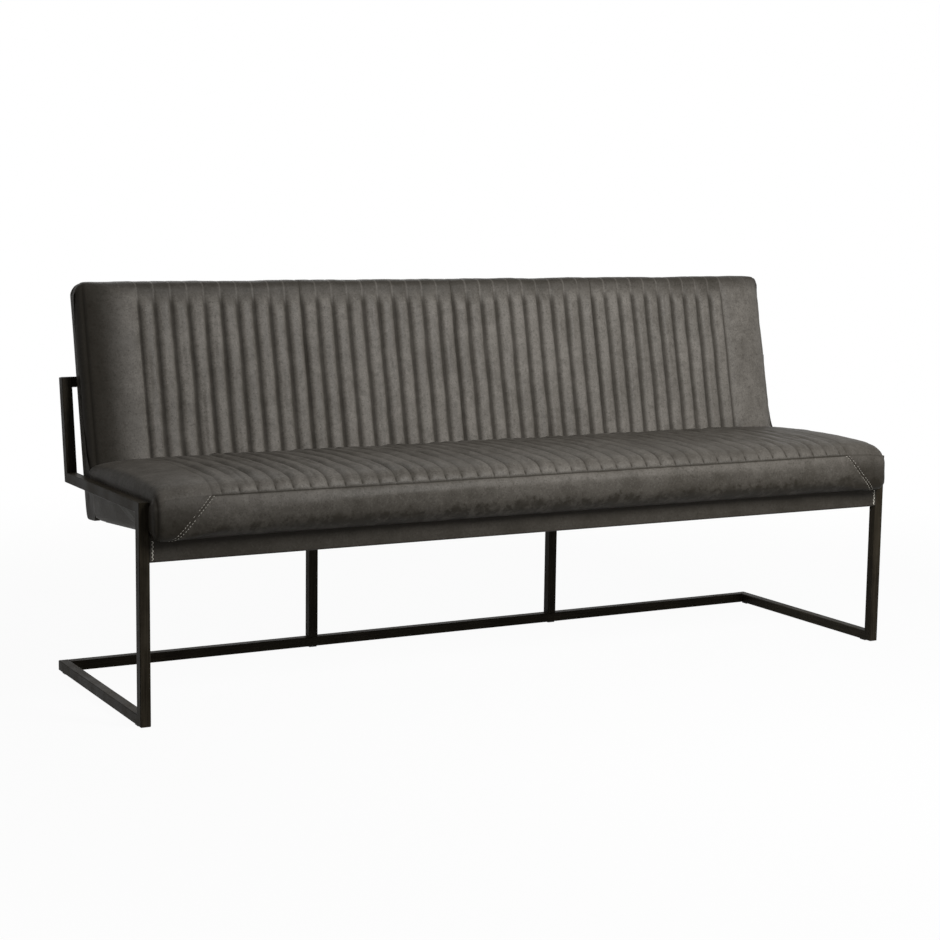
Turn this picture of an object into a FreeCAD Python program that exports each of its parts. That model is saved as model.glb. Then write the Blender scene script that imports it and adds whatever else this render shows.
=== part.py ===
"""Upholstered dining bench: a welded square-tube frame that carries a channel-stitched seat and backrest.

Frame: +Z up, the front of the bench faces -Y, X runs along its length. The origin is on the floor, under
the middle of the bench. Sizes are in millimetres, and side elevations are drawn from the front face of the
front legs backwards.
"""
import FreeCAD, Part
import math
import os
import Sketcher

DIMENSIONS = {
    # overall
    "bench_width": 1850,  # over both side frames
    "base_depth": 538,  # front face of the legs to the back of the floor rail
    "nose_reach": 40,  # how far the cushion stands in front of the legs
    # square tube
    "tube": 22,
    "tube_wall": 1.5,
    "tube_bevel": 1.3,  # broken outer corners
    "glide_height": 2,
    "glide_width": 18,
    "glide_inset": 30,
    "cap_plate": 2,
    "cap_spigot": 12,
    # side frame
    "rail_top": 450,
    "rail_rear": 475,  # back of the seat rail at its underside
    "upright_top": 650,
    "upright_reach": 507,  # back of the upright at its top
    # rails, posts and bearers
    "front_rail_height": 50,
    "front_rail_depth": 20,
    "sleeve_skin": 1.5,
    "sleeve_round": 3,
    "base_front": 381,  # underside of the seat at the front rail
    "base_slope": 0.07,  # fall of the seat's underside towards the back
    "post_spacing": 646,
    # seat, in side elevation
    "seat_gap": 1,  # cushion to side rail and to backrest
    "nose_bottom": 371,
    "nose_round": 48,
    "lip_round": 22,
    "lip_clearance": 1,  # back of the lip to the sleeve of the front rail
    "crown_at": 160,
    "crown_top": 493,
    "crown_radius": 2900,
    "crown_fall": 8,  # highest point of the crown to its rear edge
    "seat_end_bevel": 7,
    "front_seam": 463,
    "front_seam_width": 1580,
    "front_hem_width": 1730,
    # backrest, in side elevation
    "back_width": 1780,
    "seat_level": 471,
    "back_front": 379,  # front face at seat level
    "back_rear": 448,  # rear face at seat level
    "front_lean": 0.23,
    "rear_lean": 0.20,
    "back_top": 853,
    "back_round": 20,
    # cover, boards and channels
    "skin": 2,
    "board": 15,
    "dust_sheet": 1,
    "board_margin": 20,
    "back_board_margin": 40,
    "foam_bevel": 0.8,  # the back foam's edges are bevelled by this share of the rounding inside the cover
    "channel_count": 40,
    "channel_pitch": 38.25,
    "channel_rise": 4,
    "channel_shoulder": 8,  # slope from a seam of the seat up to the flat of its channel
    "channel_root": 1,
    "channel_foot": 490,
    "channel_head": 822,
    "channel_stop": 8,  # seat channels end this far before the backrest
    # fasteners
    "bolt_radius": 3,
    "bolt_head_radius": 5.5,
    "bolt_head_height": 3,
    "bolt_grip": 36,
    "bolt_clearance": 0.5,
    "bolt_spacing": 480,
    "screw_radius": 2.5,
    "screw_head_radius": 4.5,
    "screw_head_height": 2.5,
    "screw_bite": 10,
    "screw_clearance": 1,
    "screw_first": 80,
    "screw_spacing": 110,
}
BOLTS_IN_CROSSBAR = 4
SCREWS_PER_BEARER = 3
SIDES = (("left", -1), ("right", 1))

# Points of a sketch's lines and circles, as constraints number them
LINE_START, LINE_END, CIRCLE_CENTRE = 1, 2, 3
SKETCH_ORIGIN = (-1, 1)


class Size:
    """A length that carries both its spreadsheet expression and its present value."""

    def __init__(self, text, value):
        self.text = text
        self.value = value

    @staticmethod
    def of(other):
        """Any number as a Size."""
        return other if isinstance(other, Size) else Size(repr(float(other)), float(other))

    def _join(self, sign, other, value):
        return Size(f"({self.text} {sign} {other.text})", value)

    def __add__(self, other):
        other = Size.of(other)
        return self._join("+", other, self.value + other.value)

    def __sub__(self, other):
        other = Size.of(other)
        return self._join("-", other, self.value - other.value)

    def __mul__(self, other):
        other = Size.of(other)
        return self._join("*", other, self.value * other.value)

    def __truediv__(self, other):
        other = Size.of(other)
        return self._join("/", other, self.value / other.value)

    def __radd__(self, other):
        return Size.of(other) + self

    def __rsub__(self, other):
        return Size.of(other) - self

    def __rmul__(self, other):
        return Size.of(other) * self

    def __neg__(self):
        return Size.of(0) - self

    def root(self):
        """Square root."""
        return Size(f"sqrt({self.text})", math.sqrt(self.value))


def hypotenuse_leg(long_side, short_side):
    """The other leg of a right-angled triangle."""
    return (long_side * long_side - short_side * short_side).root()


doc = FreeCAD.newDocument("dining_bench")
sheet = doc.addObject("Spreadsheet::Sheet", "Dims")
for row, (alias, number) in enumerate(DIMENSIONS.items(), start=1):
    sheet.set(f"A{row}", str(number))
    sheet.setAlias(f"A{row}", alias)
doc.recompute()


class Dims:
    """The driving dimensions as named sizes."""


for alias, number in DIMENSIONS.items():
    setattr(Dims, alias, Size(f"Dims.{alias}", float(number)))

ORIGIN_Y = -(Dims.base_depth - Dims.nose_reach) / 2  # front face of the legs
HALF_WIDTH = Dims.bench_width / 2
RAIL_X = HALF_WIDTH - Dims.tube / 2  # middle of a side frame
INNER_X = HALF_WIDTH - Dims.tube  # inner face of a side frame
POST_X = Dims.post_spacing / 2
TUBE_BORE = Dims.tube - Dims.tube_wall * 2
BEARER_FRONT = Dims.sleeve_skin + Dims.front_rail_depth
finished = {}


def base_line(y):
    """Height of the seat's underside at a distance behind the leg's front face."""
    return Dims.base_front - Dims.base_slope * (y - BEARER_FRONT)


def front_face(z):
    """Front face of the backrest at a height."""
    return Dims.back_front + Dims.front_lean * (z - Dims.seat_level)


def rear_face(z):
    """Rear face of the backrest at a height."""
    return Dims.back_rear + Dims.rear_lean * (z - Dims.seat_level)


def foot_corner(level_y, lean, lift=0):
    """Where a leaning face, given by its place at seat level, meets the seat's underside or a lift above it."""
    y = (level_y + lean * (base_line(0) + lift - Dims.seat_level)) / (lean * Dims.base_slope + 1)
    return y, base_line(y) + lift


def bind(thing, prop, size):
    """Ties a property to the sheet."""
    thing.setExpression(prop, Size.of(size).text)


def place(thing, x=0, y=ORIGIN_Y, z=0):
    """Ties an object's place to the sheet."""
    for axis, size in zip("xyz", (x, y, z)):
        bind(thing, f".Placement.Base.{axis}", size)


def tilt(thing, prop, axis_x, angle):
    """Ties a placement's turn about the X axis, in either sense, to the sheet."""
    for axis, share in zip("xyz", (axis_x, 0, 0)):
        bind(thing, f".{prop}.Rotation.Axis.{axis}", share)
    thing.setExpression(f".{prop}.Rotation.Angle", angle)


def keep(label, thing):
    """Registers a finished sub-part under the name of its file."""
    thing.Label = label
    finished[label] = thing
    return thing


def new_body(name):
    """An empty body."""
    return doc.addObject("PartDesign::Body", name)


def new_sketch(body, plane, name):
    """A sketch on one of the body's own origin planes."""
    sketch = body.newObject("Sketcher::SketchObject", name)
    support = [feature for feature in body.Origin.OriginFeatures if feature.Role == plane][0]
    sketch.AttachmentSupport = [(support, "")]
    sketch.MapMode = "FlatFace"
    return sketch


def arc_between(start, end, radius):
    """An arc that bulges to the right of the way from start to end."""
    along = end - start
    side = FreeCAD.Vector(-along.y, along.x, 0).normalize()
    depth = math.sqrt(max(radius * radius - (along.Length / 2) ** 2, 0))
    centre = (start + end) / 2 + side * depth
    circle = Part.Circle(centre, FreeCAD.Vector(0, 0, 1), radius)
    angles = [math.atan2(point.y - centre.y, point.x - centre.x) for point in (start, end)]
    return Part.ArcOfCircle(circle, *angles)


def outline(body, plane, name, corners, closed=True):
    """A chain of lines and arcs through corners, each (u, v) or (u, v, radius of the arc that follows)."""
    sketch = new_sketch(body, plane, name)
    points = [FreeCAD.Vector(Size.of(corner[0]).value, Size.of(corner[1]).value, 0) for corner in corners]
    count = len(corners) if closed else len(corners) - 1
    for index in range(count):
        start, end = points[index], points[(index + 1) % len(points)]
        if len(corners[index]) == 2:
            sketch.addGeometry(Part.LineSegment(start, end))
            continue
        radius = corners[index][2]
        sketch.addGeometry(arc_between(start, end, radius.value))
        number = sketch.addConstraint(Sketcher.Constraint("Radius", index, radius.value))
        bind(sketch, f"Constraints[{number}]", radius)
    for index in range(count if closed else count - 1):
        follower = (index + 1) % count
        sketch.addConstraint(Sketcher.Constraint("Coincident", index, LINE_END, follower, LINE_START))
    for index, corner in enumerate(corners):
        line, end = (index, LINE_START) if index < count else (count - 1, LINE_END)
        for kind, size in (("DistanceX", corner[0]), ("DistanceY", corner[1])):
            size = Size.of(size)
            number = sketch.addConstraint(Sketcher.Constraint(kind, *SKETCH_ORIGIN, line, end, size.value))
            bind(sketch, f"Constraints[{number}]", size)
    return sketch


def circles(body, plane, name, centres, radius):
    """Equal circles at the given centres."""
    sketch = new_sketch(body, plane, name)
    for index, (u, v) in enumerate(centres):
        u, v = Size.of(u), Size.of(v)
        middle = FreeCAD.Vector(u.value, v.value, 0)
        sketch.addGeometry(Part.Circle(middle, FreeCAD.Vector(0, 0, 1), radius.value))
        for kind, size in (("DistanceX", u), ("DistanceY", v)):
            centre = (index, CIRCLE_CENTRE)
            number = sketch.addConstraint(Sketcher.Constraint(kind, *SKETCH_ORIGIN, *centre, size.value))
            bind(sketch, f"Constraints[{number}]", size)
        number = sketch.addConstraint(Sketcher.Constraint("Radius", index, radius.value))
        bind(sketch, f"Constraints[{number}]", radius)
    return sketch


def extrude(body, kind, sketch, length, both_ways=True):
    """A Pad or a Pocket of a sketch, by default half of its length to each side."""
    feature = body.newObject(f"PartDesign::{kind}", f"{sketch.Name}_{kind.lower()}")
    feature.Profile = sketch
    bind(feature, "Length", length)
    if both_ways:
        feature.SideType = "Symmetric"
    doc.recompute()
    return feature


def cut_out(body, sketch, length):
    """A pocket that has to take material away."""
    before = body.Shape.Volume
    extrude(body, "Pocket", sketch, length)
    if body.Shape.Volume >= before:
        raise RuntimeError(f"{sketch.Name} cuts nothing")


def tube(name, outer, inner):
    """A length of square tube, drawn in elevation: its outer outline and the outline of its bore."""
    body = new_body(name)
    extrude(body, "Pad", outline(body, "YZ_Plane", f"{name}_outer", outer), Dims.tube)
    bevel_edges(body, Dims.tube_bevel, runs_along)
    cut_out(body, outline(body, "YZ_Plane", f"{name}_bore", inner), TUBE_BORE)
    return body


def between(start, end, share):
    """A corner part of the way along a mitre line."""
    return tuple(start[axis] + (end[axis] - start[axis]) * share for axis in (0, 1))


def mitred(name, first, second):
    """A tube between two mitre lines, each from its outer to its inner corner."""
    near = Dims.tube_wall / Dims.tube
    lines = (first, second)
    bore = [[between(*line, share) for share in (near, 1 - near)] for line in lines]
    return tube(name, [*first, second[1], second[0]], [*bore[0], bore[1][1], bore[1][0]])


def edges_where(shape, test):
    """Names of the edges that pass a test on their middle point and direction."""
    names = []
    for number, edge in enumerate(shape.Edges, start=1):
        middle = edge.valueAt((edge.FirstParameter + edge.LastParameter) / 2)
        ends = edge.Vertexes[-1].Point - edge.Vertexes[0].Point
        if test(middle, ends):
            names.append(f"Edge{number}")
    return names


def round_edges(body, radius, test):
    """Rounds the edges of a body that pass a test."""
    soften(body, "Fillet", "Radius", radius, test)


def bevel_edges(body, size, test):
    """Bevels the edges of a body that pass a test."""
    soften(body, "Chamfer", "Size", size, test)


def soften(body, kind, prop, size, test):
    """Adds a fillet or a chamfer to the last feature of a body."""
    base = body.Tip
    edges = edges_where(body.Shape, test)
    if not edges:
        raise RuntimeError(f"{body.Name} has no such edge")
    feature = body.newObject(f"PartDesign::{kind}", f"{base.Name}_{kind.lower()}")
    feature.Base = (base, edges)
    bind(feature, prop, size)
    doc.recompute()


def runs_along(middle, ends):
    """True for the long edges of a tube."""
    return ends.Length > Dims.tube.value * 2


def boolean(kind, name, base, tool):
    """A Part boolean of two objects."""
    result = doc.addObject(f"Part::{kind}", name)
    result.Base, result.Tool = base, tool
    doc.recompute()
    return result


def group(label, members):
    """Identical pieces that share one node."""
    compound = doc.addObject("Part::Compound", label)
    compound.Links = members
    return keep(label, compound)


def block(name, x, y, z, length, width, height):
    """A box from its lowest corner and its size."""
    box = doc.addObject("Part::Box", name)
    for prop, size in (("Length", length), ("Width", width), ("Height", height)):
        bind(box, prop, size)
    place(box, x, ORIGIN_Y + y, z)
    return box


# Side frames: leg, runner, seat rail and upright are mitred into each other in one plane
RUNNER_TOP = Dims.glide_height + Dims.tube
RAIL_BOTTOM = Dims.rail_top - Dims.tube
UPRIGHT_RISE = Dims.upright_top - RAIL_BOTTOM
UPRIGHT_LEAN = (Dims.upright_reach - Dims.rail_rear) / UPRIGHT_RISE
UPRIGHT_LENGTH = ((UPRIGHT_LEAN * UPRIGHT_LEAN + 1) * UPRIGHT_RISE * UPRIGHT_RISE).root()
LEAN_SINE = (Dims.upright_reach - Dims.rail_rear) / UPRIGHT_LENGTH
LEAN_COSINE = UPRIGHT_RISE / UPRIGHT_LENGTH
LEAN_ANGLE = f"asin({LEAN_SINE.text})"


def along_upright(back, up):
    """A point of the upright from its top rear corner: steps back from its rear face and up along it."""
    return (
        Dims.upright_reach + LEAN_COSINE * back + LEAN_SINE * up,
        Dims.upright_top - LEAN_SINE * back + LEAN_COSINE * up,
    )


foot_mitre = ((0, Dims.glide_height), (Dims.tube, RUNNER_TOP))
knee_mitre = ((0, Dims.rail_top), (Dims.tube, RAIL_BOTTOM))
hip_inner_y = Dims.rail_rear + (LEAN_SINE * Dims.tube - Dims.tube) / LEAN_COSINE
hip_mitre = ((Dims.rail_rear, RAIL_BOTTOM), (hip_inner_y, Dims.rail_top))
runner_end = Dims.base_depth - Dims.cap_plate
tail_cut = ((runner_end, Dims.glide_height), (runner_end, RUNNER_TOP))
head_cut = (along_upright(0, -Dims.cap_plate), along_upright(-Dims.tube, -Dims.cap_plate))

cap_spigot_reach = Dims.cap_plate + Dims.cap_spigot
tube_end_caps = []


def end_cap(name, plate, spigot, x):
    """A cap that closes a tube end: a plate over the walls and a spigot in the bore."""
    body = new_body(name)
    extrude(body, "Pad", outline(body, "YZ_Plane", f"{name}_plate", plate), Dims.tube)
    bevel_edges(body, Dims.tube_bevel, lambda middle, ends: ends.Length < Dims.tube.value / 2)
    extrude(body, "Pad", outline(body, "YZ_Plane", f"{name}_spigot", spigot), TUBE_BORE)
    place(body, x)
    tube_end_caps.append(body)


for side, sign in SIDES:
    members = {
        "front_leg": mitred(f"{side}_leg", foot_mitre, knee_mitre),
        "floor_runner": mitred(f"{side}_runner", foot_mitre, tail_cut),
        "seat_rail": mitred(f"{side}_rail", knee_mitre, hip_mitre[::-1]),
        "back_upright": mitred(f"{side}_upright", hip_mitre, head_cut),
    }
    for member, body in members.items():
        place(body, RAIL_X * sign)
        keep(f"{side}_{member}", body)
    wall_low, wall_high = Dims.glide_height + Dims.tube_wall, RUNNER_TOP - Dims.tube_wall
    end_cap(
        f"{side}_tail_cap",
        [tail_cut[0], (Dims.base_depth, Dims.glide_height), (Dims.base_depth, RUNNER_TOP), tail_cut[1]],
        [
            (runner_end - Dims.cap_spigot, wall_low),
            (runner_end, wall_low),
            (runner_end, wall_high),
            (runner_end - Dims.cap_spigot, wall_high),
        ],
        RAIL_X * sign,
    )
    bore_rear, bore_front = -Dims.tube_wall, Dims.tube_wall - Dims.tube
    end_cap(
        f"{side}_head_cap",
        [head_cut[0], along_upright(0, 0), along_upright(-Dims.tube, 0), head_cut[1]],
        [
            along_upright(bore_rear, -cap_spigot_reach),
            along_upright(bore_rear, -Dims.cap_plate),
            along_upright(bore_front, -Dims.cap_plate),
            along_upright(bore_front, -cap_spigot_reach),
        ],
        RAIL_X * sign,
    )
group("tube_end_caps", tube_end_caps)


def cross_tube(name, outer, inner):
    """A square or oblong tube that runs across, between the two side frames, drawn as its section."""
    body = new_body(name)
    extrude(body, "Pad", outline(body, "YZ_Plane", f"{name}_outer", outer), INNER_X * 2)
    bevel_edges(body, Dims.tube_bevel, runs_along)
    cut_out(body, outline(body, "YZ_Plane", f"{name}_bore", inner), INNER_X * 2)
    place(body)
    return body


def rectangle(low_u, low_v, high_u, high_v):
    """The four corners of an upright rectangle."""
    return [(low_u, low_v), (high_u, low_v), (high_u, high_v), (low_u, high_v)]


def walled_section(low_u, low_v, high_u, high_v):
    """Outer and bore corners of a tube section."""
    wall = Dims.tube_wall
    return (
        rectangle(low_u, low_v, high_u, high_v),
        rectangle(low_u + wall, low_v + wall, high_u - wall, high_v - wall),
    )


# Rear floor rail, back crossbar and front rail butt against the side frames' inner faces
rail_front = Dims.base_depth - Dims.tube
keep(
    "rear_floor_rail",
    cross_tube(
        "floor_rail", *walled_section(rail_front, Dims.glide_height, Dims.base_depth, RUNNER_TOP)
    ),
)
front_rail_bottom = Dims.base_front - Dims.front_rail_height
keep(
    "front_rail",
    cross_tube(
        "apron_rail",
        *walled_section(Dims.sleeve_skin, front_rail_bottom, BEARER_FRONT, Dims.base_front),
    ),
)
bolt_places = [
    Dims.bolt_spacing * (number - (BOLTS_IN_CROSSBAR - 1) / 2) for number in range(BOLTS_IN_CROSSBAR)
]
crossbar = cross_tube(
    "crossbar",
    [
        along_upright(0, 0),
        along_upright(0, -Dims.tube),
        along_upright(-Dims.tube, -Dims.tube),
        along_upright(-Dims.tube, 0),
    ],
    [
        along_upright(bore_rear, -Dims.tube_wall),
        along_upright(bore_rear, bore_front),
        along_upright(bore_front, bore_front),
        along_upright(bore_front, -Dims.tube_wall),
    ],
)
bolt_middle = along_upright(-Dims.tube / 2, -Dims.tube / 2)
bolt_centres = [(x, 0) for x in bolt_places]
bolt_holes = circles(
    crossbar, "XZ_Plane", "bolt_holes", bolt_centres, Dims.bolt_radius + Dims.bolt_clearance
)
bind(bolt_holes, ".AttachmentOffset.Base.y", bolt_middle[1])
bind(bolt_holes, ".AttachmentOffset.Base.z", -bolt_middle[0])
tilt(bolt_holes, "AttachmentOffset", -1, LEAN_ANGLE)
cut_out(crossbar, bolt_holes, Dims.tube * 2)
keep("back_crossbar", crossbar)

sleeve = new_body("sleeve")
sleeve_bottom = front_rail_bottom - Dims.sleeve_skin
extrude(
    sleeve,
    "Pad",
    outline(
        sleeve,
        "YZ_Plane",
        "sleeve_section",
        [
            (0, sleeve_bottom),
            (BEARER_FRONT, sleeve_bottom),
            (BEARER_FRONT, front_rail_bottom),
            (Dims.sleeve_skin, front_rail_bottom),
            (Dims.sleeve_skin, Dims.base_front),
            (0, Dims.base_front),
        ],
    ),
    INNER_X * 2,
)
place(sleeve)
doc.recompute()
sleeve_front = ORIGIN_Y.value + Dims.sleeve_skin.value / 2
sleeve_low = front_rail_bottom.value
round_edges(
    sleeve,
    Dims.sleeve_round,
    lambda middle, ends: runs_along(middle, ends) and middle.y < sleeve_front and middle.z < sleeve_low,
)
keep("front_rail_sleeve", sleeve)


def hex_fastener(name, head_radius, head_height, shank_radius, grip):
    """A bolt or screw along +Z from the outer face of its hexagonal head."""
    body = new_body(name)
    turns = [math.radians(60 * corner) for corner in range(6)]
    hexagon = [(head_radius * math.cos(turn), head_radius * math.sin(turn)) for turn in turns]
    extrude(body, "Pad", outline(body, "XY_Plane", f"{name}_head", hexagon), head_height, both_ways=False)
    shank = circles(body, "XY_Plane", f"{name}_shank", [(0, 0)], shank_radius)
    extrude(body, "Pad", shank, head_height + grip, both_ways=False)
    return body


# Posts stand on the rear floor rail, and each is mitred into a bearer that carries the seat
post_foot = ((Dims.base_depth, RUNNER_TOP), (rail_front, RUNNER_TOP))
bearer_slant = (Dims.base_slope * Dims.base_slope + 1).root()
bearer_drop = bearer_slant * Dims.tube
shoulder_inner = base_line(rail_front) - bearer_drop
shoulder_mitre = ((Dims.base_depth, base_line(Dims.base_depth)), (rail_front, shoulder_inner))
bearer_butt = (
    (BEARER_FRONT, Dims.base_front),
    (BEARER_FRONT, Dims.base_front - bearer_drop),
)
screw_rows = [Dims.screw_first + Dims.screw_spacing * number for number in range(SCREWS_PER_BEARER)]
seat_screws = []
for side, sign in SIDES:
    post = mitred(f"{side}_post", post_foot, shoulder_mitre)
    bearer = mitred(f"{side}_bearer", bearer_butt, shoulder_mitre)
    cut_out(
        bearer,
        circles(
            bearer,
            "XY_Plane",
            f"{side}_screw_holes",
            [(0, y) for y in screw_rows],
            Dims.screw_radius + Dims.screw_clearance,
        ),
        Dims.base_front * 3,
    )
    for label, body in ((f"{side}_rear_post", post), (f"{side}_seat_bearer", bearer)):
        place(body, POST_X * sign)
        keep(label, body)
    for number, y in enumerate(screw_rows, start=1):
        head_top = base_line(y) - bearer_drop - Dims.base_slope * Dims.screw_head_radius
        tip = base_line(y) + Dims.dust_sheet + Dims.screw_bite
        screw = hex_fastener(
            f"{side}_screw_{number}",
            Dims.screw_head_radius,
            Dims.screw_head_height,
            Dims.screw_radius,
            tip - head_top,
        )
        place(screw, POST_X * sign, ORIGIN_Y + y, head_top - Dims.screw_head_height)
        seat_screws.append(screw)
group("seat_screws", seat_screws)

# Floor glides under both ends and the middle of the base
glides = []
glide_places = [
    (RAIL_X * sign, y) for sign in (-1, 1) for y in (Dims.glide_inset, Dims.base_depth - Dims.glide_inset)
] + [(POST_X * sign, Dims.base_depth - Dims.tube / 2) for sign in (-1, 1)]
for number, (x, y) in enumerate(glide_places, start=1):
    corner_x, corner_y = x - Dims.glide_width / 2, y - Dims.glide_width / 2
    pad = (Dims.glide_width, Dims.glide_width, Dims.glide_height)
    glides.append(block(f"glide_{number}", corner_x, corner_y, 0, *pad))
group("floor_glides", glides)


# Seat: a crowned block with a rounded nose, wrapped in a cover that is split into sewn panels
SEAT_HALF = INNER_X - Dims.seat_gap
NOSE_Y = Dims.nose_round - Dims.nose_reach
CROWN_Z = Dims.crown_top - Dims.crown_radius
CROWN_TO_NOSE = Dims.crown_radius - Dims.nose_round
NOSE_Z = CROWN_Z + hypotenuse_leg(CROWN_TO_NOSE, Dims.crown_at - NOSE_Y)
CROWN_SINE = (Dims.crown_at - NOSE_Y) / CROWN_TO_NOSE
CROWN_COSINE = (NOSE_Z - CROWN_Z) / CROWN_TO_NOSE
SEAT_REAR_TOP_Y = front_face(Dims.crown_top - Dims.crown_fall)


def crown_height(y, inset=0):
    """Height of the crowned top at a distance behind the legs' front face."""
    return CROWN_Z + hypotenuse_leg(Dims.crown_radius - inset, y - Dims.crown_at)


def seat_profile(inset):
    """Side elevation of the seat block, drawn in by an inset along its top and nose."""
    nose = Dims.nose_round - inset
    lip = Dims.lip_round - inset
    lip_y = Dims.lip_round - Dims.nose_reach
    lip_z = Dims.nose_bottom + Dims.lip_round
    rear_top = SEAT_REAR_TOP_Y - Dims.seat_gap
    nose_back = -Dims.lip_clearance - inset
    return [
        foot_corner(Dims.back_front - Dims.seat_gap, Dims.front_lean),
        (rear_top, crown_height(rear_top, inset), Dims.crown_radius - inset),
        (NOSE_Y - CROWN_SINE * nose, NOSE_Z + CROWN_COSINE * nose, nose),
        (NOSE_Y - nose, NOSE_Z),
        (lip_y - lip, lip_z, lip),
        (lip_y, lip_z - lip),
        (nose_back, lip_z - lip),
        (nose_back, base_line(nose_back)),
    ]


def seat_block(name, inset):
    """The seat block at full length less an inset at each end."""
    body = new_body(name)
    profile = outline(body, "YZ_Plane", f"{name}_profile", seat_profile(Size.of(inset)))
    extrude(body, "Pad", profile, (SEAT_HALF - inset) * 2)
    place(body)
    doc.recompute()
    return body


def seat_end_edge(middle, ends):
    """True for the upper edges at both ends of the seat block."""
    at_end = abs(middle.x) > SEAT_HALF.value - Dims.seat_end_bevel.value
    return at_end and middle.z > NOSE_Z.value and abs(ends.y) > abs(ends.z)


seat_envelope = seat_block("seat_envelope", 0)
bevel_edges(seat_envelope, Dims.seat_end_bevel, seat_end_edge)
seat_core = seat_block("seat_core", Dims.skin)
bevel_edges(seat_core, Dims.seat_end_bevel - Dims.skin / 2, seat_end_edge)

board_front = Dims.board_margin
board_rear = front_face(base_line(SEAT_REAR_TOP_Y)) - Dims.skin - Dims.board_margin
BOARD_HALF = SEAT_HALF - Dims.board_margin


def base_sheet(name, lift, thickness):
    """A flat piece under the seat, lying along its sloping underside."""
    body = new_body(name)
    corners = [(y, base_line(y) + rise) for y, rise in ((board_front, lift), (board_rear, lift))]
    corners += [(y, base_line(y) + lift + thickness) for y in (board_rear, board_front)]
    extrude(body, "Pad", outline(body, "YZ_Plane", f"{name}_section", corners), BOARD_HALF * 2)
    place(body)
    return body


dust_cover = base_sheet("dust_cover", 0, Dims.dust_sheet)
seat_board = base_sheet("seat_board", Dims.dust_sheet, Dims.board)
keep("seat_dust_cover", dust_cover)
keep("seat_board", seat_board)
padding = boolean("Cut", "seat_padding", seat_core, seat_board)
keep("seat_foam", boolean("Cut", "seat_foam_block", padding, dust_cover))
seat_shell = boolean("Cut", "seat_shell", seat_envelope, seat_core)

# Seams: the channelled top ends at the front seam, and the front panel widens down to its hem
TALL = Dims.back_top
top_region = block(
    "top_region",
    -Dims.front_seam_width / 2,
    -Dims.nose_reach * 2,
    Dims.front_seam,
    Dims.front_seam_width,
    Dims.base_depth,
    TALL,
)
front_region = new_body("front_region")
extrude(
    front_region,
    "Pad",
    outline(
        front_region,
        "XZ_Plane",
        "front_panel_shape",
        [
            (-Dims.front_hem_width / 2, 0),
            (Dims.front_hem_width / 2, 0),
            (Dims.front_hem_width / 2, Dims.nose_bottom),
            (Dims.front_seam_width / 2, Dims.front_seam),
            (-Dims.front_seam_width / 2, Dims.front_seam),
            (-Dims.front_hem_width / 2, Dims.nose_bottom),
        ],
    ),
    Dims.base_depth * 2,
)
place(front_region)
top_skin = boolean("Common", "seat_top_skin", seat_shell, top_region)
keep("seat_front_cover", boolean("Common", "seat_front_skin", seat_shell, front_region))
seat_rest = boolean("Cut", "seat_rest", seat_shell, top_region)
end_skins = boolean("Cut", "seat_end_skins", seat_rest, front_region)
for side, sign in SIDES:
    corner = -HALF_WIDTH if sign < 0 else Size.of(0)
    half_bench = (HALF_WIDTH, Dims.base_depth * 2, TALL)
    region = block(f"{side}_seat_region", corner, -Dims.nose_reach * 2, 0, *half_bench)
    keep(f"{side}_seat_end_cover", boolean("Common", f"{side}_seat_end_skin", end_skins, region))


# Backrest: a leaning slab with rounded edges, a plywood board at its back and a sewn cover
BACK_HALF = Dims.back_width / 2


def back_profile(inset):
    """Side elevation of the backrest, drawn in by an inset all round."""
    top = Dims.back_top - inset
    return [
        foot_corner(Dims.back_front + inset, Dims.front_lean, inset),
        foot_corner(Dims.back_rear - inset, Dims.rear_lean, inset),
        (rear_face(top) - inset, top),
        (front_face(top) + inset, top),
    ]


def back_block(name, inset):
    """The backrest slab less an inset all round."""
    body = new_body(name)
    profile = outline(body, "YZ_Plane", f"{name}_profile", back_profile(Size.of(inset)))
    extrude(body, "Pad", profile, (BACK_HALF - inset) * 2)
    place(body)
    doc.recompute()
    return body


def back_outer_edge(middle, ends):
    """True for the upper and side edges of the backrest slab."""
    upper = Dims.seat_level.value
    return middle.z > upper or abs(ends.z) > upper / 2


back_envelope = back_block("back_envelope", 0)
round_edges(back_envelope, Dims.back_round, back_outer_edge)
back_core = back_block("back_core", Dims.skin)
bevel_edges(back_core, (Dims.back_round - Dims.skin) * Dims.foam_bevel, back_outer_edge)
back_board = new_body("back_panel")
board_foot = base_line(Dims.back_rear) + Dims.board_margin
board_head = Dims.back_top - Dims.back_board_margin
board_corners = [
    (rear_face(z) - Dims.skin - depth, z)
    for z, depth in ((board_foot, Dims.board), (board_foot, 0), (board_head, 0), (board_head, Dims.board))
]
extrude(
    back_board,
    "Pad",
    outline(back_board, "YZ_Plane", "back_board_section", board_corners),
    (BACK_HALF - Dims.back_board_margin) * 2,
)
place(back_board)
keep("back_board", back_board)
keep("back_foam", boolean("Cut", "back_foam_block", back_core, back_board))
back_shell = boolean("Cut", "back_shell", back_envelope, back_core)

CHANNEL_HALF = Dims.channel_count * Dims.channel_pitch / 2
rear_region = new_body("rear_region")
rear_corners = [
    (rear_face(Size.of(0)) - Dims.back_round, 0),
    (Dims.base_depth * 2, 0),
    (Dims.base_depth * 2, Dims.back_top * 2),
    (rear_face(Dims.back_top * 2) - Dims.back_round, Dims.back_top * 2),
]
rear_panel = outline(rear_region, "YZ_Plane", "rear_panel_shape", rear_corners)
extrude(rear_region, "Pad", rear_panel, HALF_WIDTH * 2)
place(rear_region)
keep("back_rear_cover", boolean("Common", "back_rear_skin", back_shell, rear_region))
front_skins = boolean("Cut", "back_front_skins", back_shell, rear_region)
middle_region = block(
    "back_middle_region", -CHANNEL_HALF, 0, 0, CHANNEL_HALF * 2, Dims.base_depth * 2, Dims.back_top * 2
)
back_middle_skin = boolean("Common", "back_middle_skin", front_skins, middle_region)
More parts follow.
